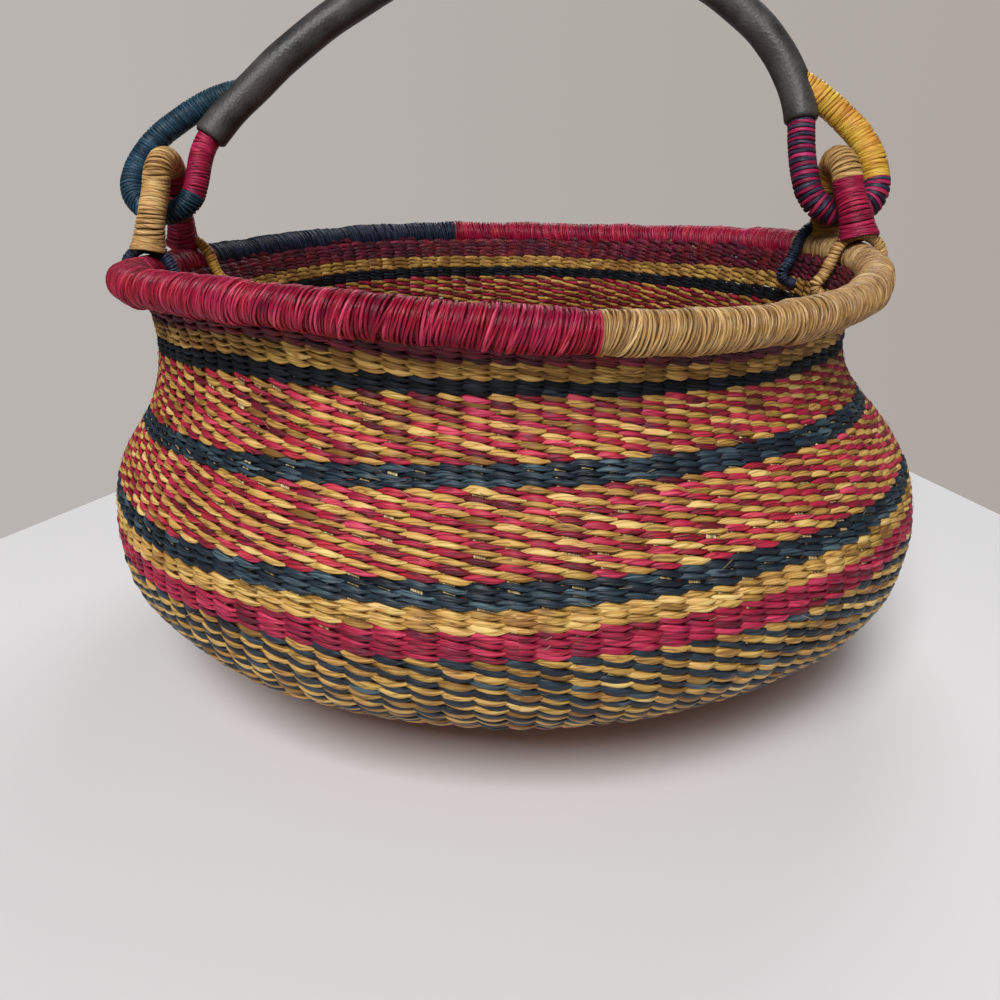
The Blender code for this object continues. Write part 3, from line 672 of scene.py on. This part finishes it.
# How unlike each other the turns of a binding are.
TURN_LEAST = 0.55
TURN_TONE_SPREAD = 0.13
TURN_STRAY_LIMIT = 4
TURN_RISES = (0.16, 0.14)
TURN_PLUMP_SPREAD = 0.14
TURN_PLUMP_LIMITS = (0.7, 1.4)
TURN_STRAIGHT = 0.004


class Bent:
    """A smooth line with its length, and a way out and a way up that turn along with it."""

    def __init__(self, points, out_ways):
        self.points = points
        self.length = lengths_along(points)
        self.way = unit(np.gradient(points, axis=0))
        self.up = unit(np.cross(self.way, out_ways))
        self.out = np.cross(self.up, self.way)

    def at(self, length):
        """Points of the line at these lengths, with the ways up and out there."""
        return [np.stack([np.interp(length, self.length, values[:, axis]) for axis in range(3)], axis=-1)
                for values in (self.points, self.up, self.out)]


def bound(strands, line, start_at, end_at, radius, turn, half_width, thick, lean=0.0, steps=20, tilt=0.25,
          notch=0.3, spread=0.2, flare=None, sides=8, bright=0.5, lined=True, seam=0.25, uneven=1.0, wefts=1):
    """Winds grass round a line, turn by turn. wefts is how many strands are wound side by side."""
    if lined:
        # The lining strand, at tone 0.05, is painted shade in the gaps between turns.
        bound(strands, line, start_at, end_at, radius - thick, UNDER_TURN, UNDER_HALF, UNDER_THICK, steps=14,
              sides=6, flare=flare, bright=0.05, lined=False)
    places = [start_at + half_width * 0.5]
    while places[-1] < end_at - half_width * 0.5:
        places.append(places[-1] + turn * max(TURN_LEAST, 1 + spread * hand.normal()))
    places = np.array(places)
    places *= (end_at - start_at) / (places[-1] - places[0] + 1e-9)
    places += start_at - places[0]
    places = np.clip(places, start_at + half_width * 0.4, end_at - half_width * 0.4)
    # The first and the last turn lie on themselves, so that no gap shows where a binding ends.
    places = np.concatenate([places[:1], places, places[-1:]])
    turns = len(places)
    tones = np.clip(hand.normal(bright, TURN_TONE_SPREAD, size=turns), 0, 1)
    stray = np.clip(hand.standard_t(3, size=turns), -TURN_STRAY_LIMIT, TURN_STRAY_LIMIT)
    tilts = lean + tilt * turn * stray
    rises = uneven * thick * (TURN_RISES[0] * hand.normal(size=turns) + TURN_RISES[1] * np.abs(stray))
    plumps = np.clip(1 + TURN_PLUMP_SPREAD * hand.normal(size=turns), *TURN_PLUMP_LIMITS)
    count = (turns - 1) * steps + 1
    at_turn = np.arange(count) / steps
    index = np.arange(turns)
    place, lean_here, rise, plump = (np.interp(at_turn, index, values)
                                     for values in (places, tilts, rises, plumps))
    angle = (at_turn + seam) * 2 * math.pi
    lean_here = lean_here * np.clip(np.minimum(place - start_at, end_at - place) / TURN_STRAIGHT, 0, 1)
    along = np.clip(place + lean_here * np.sin(angle), start_at, end_at)
    centre, up, out = line.at(along)
    swell = 1.0 if flare is None else np.interp(along, *flare)
    ray = out * np.cos(angle)[:, None] + up * np.sin(angle)[:, None]
    points = centre + ray * (radius * swell - thick + rise)[:, None]
    way = unit(np.gradient(points, axis=0))
    side_way = unit(np.cross(way, ray))
    tone = np.repeat(tones, steps)[:count]
    dyes = np.minimum(at_turn.astype(int), turns - 1) % wefts
    strands.add(points, side_way * (half_width * plump)[:, None], ray * thick, tone, dyes, sides=sides,
                notch=notch)


def rim_middle(angles):
    """The middle of the rim's bundle."""
    return placed(RIM_RADIUS, np.full_like(angles, RIM_HEIGHT), angles)


rim_angles = np.linspace(math.radians(-2), math.radians(375), 1508)
rim_line = Bent(rim_middle(rim_angles), outwards(rim_angles))
from_ear = np.abs(np.abs((rim_angles + math.pi) % (2 * math.pi) - math.pi) - EARS_ANGLE)
lumps = 1 + RIM_LUMP * eased(from_ear, *LUMP_ANGLES) * sum(
    share * np.sin(waves * rim_angles + first) for share, waves, first in RIM_LUMP_WAVES)
for name, first, last, slot, material in RIM_BINDINGS:
    binding = Strands()
    low, high = np.interp(np.radians([first, last]), rim_angles, rim_line.length)
    bound(binding, rim_line, low, high, RIM_TUBE_RADIUS, RIM_TURN, RIM_STRAND_HALF, RIM_STRAND_THICK,
          lean=RIM_LEAN, notch=0.1, tilt=0.50, spread=0.26, steps=24, sides=10,
          flare=(rim_line.length, lumps))
    binding.piece(f"{name}_turns", (material,), "basket", slot, f"{name}_binding")

bundle = Strands()
round_rim = np.linspace(0, 2 * math.pi, 361)[:-1]
for stalk in range(RIM_STALKS + 1):
    around = 2 * math.pi * stalk / RIM_STALKS + 3 * round_rim
    reach = 0.0 if stalk == RIM_STALKS else RIM_STALK_REACH
    middle = placed(RIM_RADIUS + reach * np.cos(around), RIM_HEIGHT + reach * np.sin(around), round_rim)
    middle[:, 2] = rim_middle(round_rim)[:, 2] + reach * np.sin(around)
    bundle.add(middle, np.tile([0, 0, RIM_STALK_RADIUS], (len(middle), 1)),
               outwards(round_rim) * RIM_STALK_RADIUS, 0.2 + 0.08 * stalk, 0, is_ring=True, sides=6)
bundle.piece("rim_stalks", (STALK,), "basket", "grass_stalks", "rim_core")


# Ears
#
# Each ear is a bundle of grass bent into an arch on the rim, bound in two or three colours. Its
# legs flare where they are tied down.
EAR_BACK = 0.020
EAR_FEET_APART = 0.054
EAR_ABOVE_RIM = 0.0022
EAR_ARCH_RADIUS = 0.0146
EAR_ARCH_HEIGHT = 0.242
EAR_RADII = {"left": 0.0075, "right": 0.0081}
EAR_LEANS = {"left": 0.0051, "right": 0.0068}
EAR_TURN = 0.0023
EAR_STRAND_HALF = 0.00118
EAR_STRAND_THICK = 0.00105
EAR_TURN_LEAN = 0.0013
LEG_FLARES = ((0.0, 1.34), (0.006, 1.16), (0.018, 1.0))
SIGNS = {"left": -1, "right": 1}
RIM_CHORD = 2 * math.pi / 48
STALKS_INSET = 0.0022

EAR_NATURAL = grass("natural ear binding", (128, 90, 42), (204, 160, 98), (240, 206, 148), streak=0.65,
                    hues=0.006)
EAR_CRIMSON = grass("crimson ear binding", (92, 2, 30), (166, 18, 66), (214, 60, 108), streak=0.6,
                    hues=0.008)
EAR_YELLOW = grass("yellow ear binding", (132, 88, 22), (196, 146, 54), (230, 190, 100), streak=0.65)
EAR_BINDINGS = {
    "left": ((0.0, 0.60, "natural", EAR_NATURAL), (0.60, 1.0, "crimson", EAR_CRIMSON)),
    "right": ((0.0, 0.33, "crimson", EAR_CRIMSON), (0.33, 0.62, "natural", EAR_NATURAL),
              (0.62, 1.0, "yellow", EAR_YELLOW)),
}


def rim_point(angle):
    """The middle of the rim where the frame's straight chords have it."""
    index = math.floor(angle / RIM_CHORD)
    low = placed(RIM_RADIUS, RIM_HEIGHT, RIM_CHORD * index)
    high = placed(RIM_RADIUS, RIM_HEIGHT, RIM_CHORD * (index + 1))
    return low + (high - low) * (angle / RIM_CHORD - index)


def ear_angle(side, along):
    """The angle of the rim point that lies this far back from the middle, on one side."""
    return SIGNS[side] * (math.pi / 2 + math.asin(along / RIM_RADIUS))


def smooth_line(anchors, steps, is_ring=False):
    """Points of one smooth curve through the anchors."""
    curve = bpy.data.curves.new("guide", "CURVE")
    curve.dimensions = "3D"
    spline = curve.splines.new("BEZIER")
    spline.bezier_points.add(len(anchors) - 1)
    for knot, anchor in zip(spline.bezier_points, anchors):
        knot.co = anchor
        knot.handle_left_type = "AUTO"
        knot.handle_right_type = "AUTO"
    spline.use_cyclic_u = is_ring
    spline.resolution_u = steps
    guide = bpy.data.objects.new("guide", curve)
    mesh = bpy.data.meshes.new_from_object(guide)
    points = np.array([vertex.co[:] for vertex in mesh.vertices])
    bpy.data.meshes.remove(mesh)
    bpy.data.objects.remove(guide)
    bpy.data.curves.remove(curve)
    return points


def ear_line(side):
    """The middle of an ear, from its front foot over the leaning arch to its back foot."""
    top = EAR_ARCH_HEIGHT + EAR_ARCH_RADIUS
    ear_x = rim_point(ear_angle(side, EAR_BACK))[0]
    legs = []

    for way in (-1, 1):
        foot = rim_point(ear_angle(side, EAR_BACK + way * EAR_FEET_APART / 2))
        bottom = foot[2] + RIM_TUBE_RADIUS + EAR_ABOVE_RIM

        def leaning(along, height, bottom=bottom):
            share = (height - bottom) / (top - bottom)
            return Vector((ear_x - SIGNS[side] * EAR_LEANS[side] * share, EAR_BACK + along, height))

        low = leaning(way * EAR_FEET_APART / 2, bottom)
        spring = leaning(way * EAR_ARCH_RADIUS, EAR_ARCH_HEIGHT)
        knee = low.lerp(spring, 0.5) + Vector((0, way * EAR_RADII[side] / 4, 0))
        legs.append([low, knee, spring])
    arch = [leaning(-math.cos(math.pi * step / 6) * EAR_ARCH_RADIUS,
                    EAR_ARCH_HEIGHT + math.sin(math.pi * step / 6) * EAR_ARCH_RADIUS) for step in range(1, 6)]
    return smooth_line(legs[0] + arch + legs[1][::-1], 8)


def bundle_inside(name, line, low, high, radius, body, node):
    """Loose stalks inside a binding, five round one, seen only where its turns part."""
    stalks = Strands()
    lengths = np.arange(low, high, 0.003)
    centre, up, out = line.at(lengths)
    for stalk in range(6):
        around = 2 * math.pi * stalk / 5 + lengths * 60
        reach = 0.0 if stalk == 5 else radius * 0.6
        ray = out * np.cos(around)[:, None] + up * np.sin(around)[:, None]
        stalks.add(centre + ray * reach, out * radius * 0.4, up * radius * 0.4, 0.25 + 0.1 * stalk, 0,
                   sides=6)
    stalks.piece(name, (STALK,), body, "grass_stalks", node)


for side in ("left", "right"):
    path = ear_line(side)
    line = Bent(path, np.tile([SIGNS[side], 0.0, 0.0], (len(path), 1)))
    whole = line.length[-1]
    flares = list(LEG_FLARES) + [(whole - length, share) for length, share in LEG_FLARES[::-1]]
    for first, last, word, material in EAR_BINDINGS[side]:
        turns = Strands()
        bound(turns, line, first * whole, last * whole, EAR_RADII[side], EAR_TURN, EAR_STRAND_HALF,
              EAR_STRAND_THICK, lean=EAR_TURN_LEAN * SIGNS[side], notch=0.4, tilt=0.10, spread=0.08,
              flare=tuple(zip(*flares)), sides=12, seam=0.5 - 0.25 * SIGNS[side], uneven=0.2)
        turns.piece(f"{side}_ear_{word}_turns", (material,), "basket", f"{word}_grass",
                    f"{side}_ear_{word}_binding")
    bundle_inside(f"{side}_ear_stalks", line, 0.003, whole - 0.003, EAR_RADII[side] - STALKS_INSET, "basket",
                  f"{side}_ear_core")


# Ear feet
#
# Strands tie each foot of an ear down: over the rim, in through the wall under it and up inside.
# Each is a closed loop, itself bound with thinner grass.
FOOT_RADIUS = 0.0031
FOOT_APEX = 0.0042
FOOT_CLEAR = 0.0008
FOOT_STRAND_THICK = 0.0006
FOOT_OUTER_ANGLES = (56, 24, -8, -42)
FOOT_INNER_ANGLES = (156, 124)
FOOT_GAP_SHARE = 0.958
FEET = (
    ("left", "front", -1, "navy_grass", RIM_NAVY, 0.0015),
    ("left", "back", 1, "yellow_grass", EAR_YELLOW, 0.0020),
    ("right", "front", -1, "natural_grass", EAR_NATURAL, 0.0020),
    ("right", "back", 1, "navy_grass", RIM_NAVY, 0.0015),
)


def foot_line(side, along):
    """The closed line of one foot."""
    angle = ear_angle(side, along)
    middle = Vector(rim_point(angle))
    clear = RIM_TUBE_RADIUS + FOOT_CLEAR + FOOT_RADIUS
    strand = 2 * FOOT_RADIUS
    radius, height = (float(np.interp(FOOT_GAP_SHARE * WALL_LENGTH, LINE_ALONG, LINE[:, axis]))
                      for axis in (0, 1))
    crossing = placed(radius, height, angle)[2] - middle.z
    outside = radius - RIM_RADIUS
    inside = outside - WALL

    def round_rim_at(angles):
        return [(clear * math.cos(math.radians(t)), clear * math.sin(math.radians(t))) for t in angles]

    flat = [(0, RIM_TUBE_RADIUS + FOOT_APEX)] + round_rim_at(FOOT_OUTER_ANGLES)
    flat += [(outside + strand, crossing + strand / 4), (outside, crossing), (inside, crossing),
             (inside - strand, crossing + strand), (inside - strand / 2, crossing / 2),
             (-clear - strand / 8, 0)]
    flat += round_rim_at(FOOT_INNER_ANGLES)
    way_out = Vector((math.sin(angle), -math.cos(angle), 0))
    return smooth_line([middle + way_out * across + Vector((0, 0, up)) for across, up in flat], 6,
                       is_ring=True)


for side, place, way, slot, material, ridge in FEET:
    path = foot_line(side, EAR_BACK + way * EAR_FEET_APART / 2)
    path = np.vstack([path, path[:1]])
    angle = ear_angle(side, EAR_BACK + way * EAR_FEET_APART / 2)
    line = Bent(path, np.tile([math.cos(angle), math.sin(angle), 0.0], (len(path), 1)))
    foot = Strands()
    bound(foot, line, 0.0, line.length[-1], FOOT_RADIUS, ridge, ridge * 0.54, FOOT_STRAND_THICK, steps=12,
          notch=0.2, tilt=0.08, spread=0.06)
    foot.piece(f"{side}_ear_{place}_tie", (material,), "basket", slot, f"{side}_ear_{place}_foot")


# Handle rings
#
# At each end the handle's bundle turns back on itself in a ring through its ear, and is bound in
# two colours. One ring is bound with two strands at once, so it comes out striped.
HANDLE_RISE = 0.150
HANDLE_LEAN = math.radians(20)
HINGE_HEIGHT = 0.229
HINGE_INSETS = {"left": 0.0013, "right": 0.0024}
RING_RADII = {"left": 0.0067, "right": 0.0076}
RING_TURNS = {"left": 0.0017, "right": 0.0023}
RING_TURN_LEAN = -0.0008
GRIP_GAP = 0.0005
RING_SHARES = {
    "left": ((0.320, 0.450), (0.267, 0.443), (0.200, 0.423), (0.127, 0.387), (0.055, 0.339),
             (-0.020, 0.280), (-0.079, 0.209), (-0.112, 0.143), (-0.119, 0.085), (-0.100, 0.043),
             (-0.057, 0.012), (0.000, 0.000), (0.059, 0.015), (0.101, 0.057), (0.119, 0.113),
             (0.132, 0.187), (0.147, 0.240)),
    "right": ((0.180, 0.483), (0.127, 0.460), (0.060, 0.410), (-0.020, 0.337), (-0.071, 0.280),
              (-0.106, 0.221), (-0.127, 0.147), (-0.128, 0.083), (-0.104, 0.037), (-0.055, 0.007),
              (0.000, 0.000), (0.063, 0.021), (0.107, 0.067), (0.129, 0.137), (0.141, 0.220),
              (0.144, 0.280)),
}
ARCH_SHARES = {
    "left": ((0.167, 0.277), (0.200, 0.320), (0.250, 0.380), (0.320, 0.450)),
    "right": ((0.145, 0.333), (0.157, 0.413), (0.190, 0.507), (0.240, 0.600)),
}
CROWN_SHARES = {
    "left": ((0.362, 0.577), (0.538, 0.747), (0.779, 0.913), (1.046, 1.000)),
    "right": ((0.286, 0.733), (0.447, 0.873), (0.687, 0.977)),
}

RING_NAVY = grass("navy ring binding", (10, 26, 36), (28, 62, 82), (60, 104, 122), roughness=0.44, streak=0.6)
STRIPE_CRIMSON = grass("crimson stripe", (88, 4, 40), (164, 20, 78), (206, 62, 116), streak=0.6, hues=0.010)
STRIPE_NAVY = grass("charcoal stripe", (16, 14, 26), (44, 42, 64), (84, 84, 110), roughness=0.44, streak=0.6)
RING_YELLOW = grass("yellow ring binding", (176, 120, 34), (226, 176, 66), (246, 212, 112), streak=0.6)
RING_BINDINGS = {
    "left": ((0.0, 0.768, "navy", "navy_grass", (RING_NAVY,)),
             (0.768, 1.0, "crimson", "crimson_grass", (EAR_CRIMSON,))),
    "right": ((0.0, 0.417, "yellow", "yellow_grass", (RING_YELLOW,)),
              (0.417, 1.0, "striped", "crimson_and_navy_grass", (STRIPE_CRIMSON, STRIPE_NAVY))),
}


def hinge_x(side):
    return rim_point(ear_angle(side, EAR_BACK))[0] - SIGNS[side] * HINGE_INSETS[side]


def handle_point(side, across, up_share):
    """A point of the leaning handle, this far in from its hinge and this share of its rise up."""
    up = up_share * HANDLE_RISE
    return Vector((hinge_x(side) - SIGNS[side] * across, EAR_BACK + up * math.sin(HANDLE_LEAN),
                   HINGE_HEIGHT + up * math.cos(HANDLE_LEAN)))


def arch_points(side):
    """One side of the arch, from its foot beside the ring up to the crown."""
    half_way = (hinge_x("right") - hinge_x("left")) / 2
    foot = [handle_point(side, a * HANDLE_RISE, u) for a, u in ARCH_SHARES[side]]
    return foot + [handle_point(side, a * half_way, u) for a, u in CROWN_SHARES[side]]


def handle_line(points):
    """A stretch of the handle, whose way out is the way the handle leans back."""
    way_out = -np.array(Vector((0, math.cos(HANDLE_LEAN), -math.sin(HANDLE_LEAN))))
    return Bent(points, np.tile(way_out, (len(points), 1)))


ring_lines = {}
for side in ("left", "right"):
    ring_points = [handle_point(side, a * HANDLE_RISE, u) for a, u in RING_SHARES[side]]
    path = smooth_line(ring_points + arch_points(side)[:2], 8)
    line = handle_line(path)
    ring_lines[side] = line
    end = float(line.length[np.argmin(np.linalg.norm(path - np.array(arch_points(side)[0]), axis=1))])
    turn = RING_TURNS[side]
    for first, last, word, slot, materials in RING_BINDINGS[side]:
        turns = Strands()
        bound(turns, line, first * line.length[-1], min(last * line.length[-1], end - GRIP_GAP),
              RING_RADII[side], turn, turn * 0.54, turn * 0.42, lean=RING_TURN_LEAN * SIGNS[side], notch=0.25,
              tilt=0.12, spread=0.08, sides=12, seam=0.5, uneven=0.2, wefts=len(materials))
        turns.piece(f"{side}_ring_{word}_turns", materials, "handle", slot, f"{side}_ring_{word}_binding")


# Grip
#
# A strip of dark leather is folded round the bundle along the arch, its edge lapped on the underside,
# so that the edge stands a little proud. Its ends are pared down.
GRIP_RADIUS = 0.0095
GRIP_SIDES = 48
GRIP_STEP = 0.0016
LEATHER_THICK = 0.0011
LEATHER_OVER = 0.0005
LAP_HEIGHT = 0.0006
LAP_ANGLE = math.radians(255)
LAP_WIDTH = math.radians(60)
PARED = 0.0012
WORKED = 0.00008
GRIP_STALKS_INSET = 0.0025
LEATHER_DARK = colour(36, 35, 34)
LEATHER_LIGHT = colour(78, 74, 70)


def leather():
    """Dark leather with a fine grain, worn lighter and duller in patches."""
    made, nodes, links, shader = new_material("dark leather", colour(72, 69, 66))
    where = nodes.new("ShaderNodeTexCoord")
    grain = nodes.new("ShaderNodeTexVoronoi")
    grain.inputs["Scale"].default_value = 620.0
    links.new(where.outputs["Object"], grain.inputs["Vector"])
    wear = noise(nodes, links, where.outputs["Object"], 60.0, 6.0)
    links.new(tinted(nodes, links, wear, (0.32, LEATHER_DARK), (0.72, LEATHER_LIGHT)),
              shader.inputs["Base Color"])
    links.new(stretched(nodes, links, wear, 0.38, 0.62), shader.inputs["Roughness"])
    raised(nodes, links, shader, grain.outputs["Distance"], 0.4, 0.0004)
    return made


arch_left, arch_right = arch_points("left"), arch_points("right")
below_left, below_right = (handle_point(side, across * HANDLE_RISE, up_share) for side, (across, up_share)
                           in (("left", RING_SHARES["left"][-1]), ("right", RING_SHARES["right"][-1])))
arch = handle_line(smooth_line([below_left] + arch_left + arch_right[::-1] + [below_right], 24)[24:-24])
steps = np.arange(0, arch.length[-1], GRIP_STEP)
centre, up, out = arch.at(steps)
around = np.arange(GRIP_SIDES) * 2 * math.pi / GRIP_SIDES
past_edge = (around - LAP_ANGLE) % (2 * math.pi)
lap = LAP_HEIGHT * np.clip(1 - past_edge / LAP_WIDTH, 0, 1) * (past_edge < LAP_WIDTH)
radius = GRIP_RADIUS - LEATHER_OVER + lap[None, :] + WORKED * (
    np.sin(steps * 90)[:, None] * np.sin(2 * around)[None, :]
    + np.sin(steps * 170 + 1)[:, None] * np.cos(3 * around)[None, :])
ends = np.minimum(steps, steps[-1] - steps)
radius = radius - PARED * np.clip(1 - ends / GRIP_STEP, 0, 1)[:, None]
skin_points = centre[:, None] + (out[:, None] * np.cos(around)[None, :, None]
                                 + up[:, None] * np.sin(around)[None, :, None]) * radius[:, :, None]
rows = np.arange(len(steps) - 1)[:, None] * GRIP_SIDES
columns = np.arange(GRIP_SIDES)
after = (columns + 1) % GRIP_SIDES
quads = np.stack([rows + columns, rows + after, rows + GRIP_SIDES + after, rows + GRIP_SIDES + columns], -1)
mesh = bpy.data.meshes.new("leather")
mesh.from_pydata(skin_points.reshape(-1, 3).tolist(), [], quads.reshape(-1, 4).tolist())
mesh.shade_smooth()
mesh.materials.append(leather())
skin = bpy.data.objects.new("grip_leather", mesh)
bpy.context.scene.collection.objects.link(skin)
thickness = skin.modifiers.new("thickness", "SOLIDIFY")
thickness.thickness = LEATHER_THICK
thickness.offset = -1
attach(skin, "handle")
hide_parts("leather_grip")

bundle_inside("handle_stalks", arch, 0.0015, arch.length[-1] - 0.0015, GRIP_RADIUS - GRIP_STALKS_INSET,
              "handle", "handle_core")
for side in ("left", "right"):
    line = ring_lines[side]
    bundle_inside(f"{side}_ring_stalks", line, 0.001, line.length[-1] - 0.012,
                  RING_RADII[side] - STALKS_INSET, "handle", "handle_core")


# Table and backdrop
#
# A pale table whose two back edges run away behind the basket, in front of a plain grey backdrop,
# a little darker to the right with painted shade. The backdrop is seen by the camera alone and
# lights nothing.
TABLE_CORNERS = ((-2.20, -4.0, 0), (1.56, -4.0, 0), (0.094, 1.127, 0))
TABLE_COLOUR = colour(222, 221, 222)
# The backdrop's right side is darker with painted shade.
BACKDROP_LEFT = colour(186, 181, 177)
BACKDROP_RIGHT = colour(173, 166, 161)
ROOM_LIGHT = 0.16

floor_mesh = bpy.data.meshes.new("floor")
floor_mesh.from_pydata(TABLE_CORNERS, [], [(0, 1, 2)])
floor = bpy.data.objects.new("floor", floor_mesh)
bpy.context.scene.collection.objects.link(floor)
pale, _, _, shader = new_material("pale table", TABLE_COLOUR)
shader.inputs["Base Color"].default_value = TABLE_COLOUR
shader.inputs["Roughness"].default_value = 0.6
shader.inputs["Specular IOR Level"].default_value = 0.2
floor_mesh.materials.append(pale)

world = bpy.data.worlds.new("room")
bpy.context.scene.world = world
world.use_nodes = True
nodes, links = world.node_tree.nodes, world.node_tree.links
light = nodes["Background"]
light.inputs["Color"].default_value = (1, 1, 1, 1)
light.inputs["Strength"].default_value = ROOM_LIGHT
where = nodes.new("ShaderNodeTexCoord")
split = nodes.new("ShaderNodeSeparateXYZ")
links.new(where.outputs["Generated"], split.inputs[0])
share = stretched(nodes, links, split.outputs["X"], 0.0, 1.0, -0.5, 0.5)
seen = nodes.new("ShaderNodeBackground")
seen.inputs["Strength"].default_value = 1.0
links.new(tinted(nodes, links, share, (0.0, BACKDROP_LEFT), (1.0, BACKDROP_RIGHT)), seen.inputs["Color"])
path_kind = nodes.new("ShaderNodeLightPath")
switch = nodes.new("ShaderNodeMixShader")
links.new(path_kind.outputs["Is Camera Ray"], switch.inputs["Fac"])
links.new(light.outputs[0], switch.inputs[1])
links.new(seen.outputs[0], switch.inputs[2])
links.new(switch.outputs[0], nodes["World Output"].inputs["Surface"])


# Lamps
#
# One broad soft panel stands high in front, so that the rim shades the neck under it. A weaker one
# behind keeps the far side and the inside from going dark. Each: place, aim, size and watts.
PANELS = {
    "front_panel": ((-0.45, -1.90, 2.20), (0, -0.1, 0.1), 1.25, 80.0),
    "back_panel": ((0.50, 1.90, 1.90), (0, 0, 0.15), 1.50, 26.0),
}

for name, (place, aim, size, power) in PANELS.items():
    lamp = bpy.data.lights.new(name, "AREA")
    lamp.size = size
    lamp.energy = power
    holder = bpy.data.objects.new(name, lamp)
    holder.location = place
    holder.rotation_euler = (Vector(aim) - Vector(place)).to_track_quat("-Z", "Y").to_euler()
    bpy.context.scene.collection.objects.link(holder)


# Camera
#
# Above the near side of the rim and square to the basket, close enough for a wide view. The focal
# length is given as a share of the sensor's width.
SENSOR_WIDTH = 36.0
FOCAL_SHARE = 0.912
CAMERA_PLACE = (0.0, -0.508, 0.2615)
CAMERA_DOWN = 20.97
CAMERA_LEFT = 0.95

camera_data = bpy.data.cameras.new("camera")
camera_data.sensor_width = SENSOR_WIDTH
camera_data.lens = FOCAL_SHARE * SENSOR_WIDTH
camera_data.clip_start = 0.01
camera = bpy.data.objects.new("camera", camera_data)
camera.location = CAMERA_PLACE
camera.rotation_euler = (math.radians(90 - CAMERA_DOWN), 0.0, math.radians(CAMERA_LEFT))
bpy.context.scene.collection.objects.link(camera)
bpy.context.scene.camera = camera
bpy.context.scene.view_settings.view_transform = "Standard"
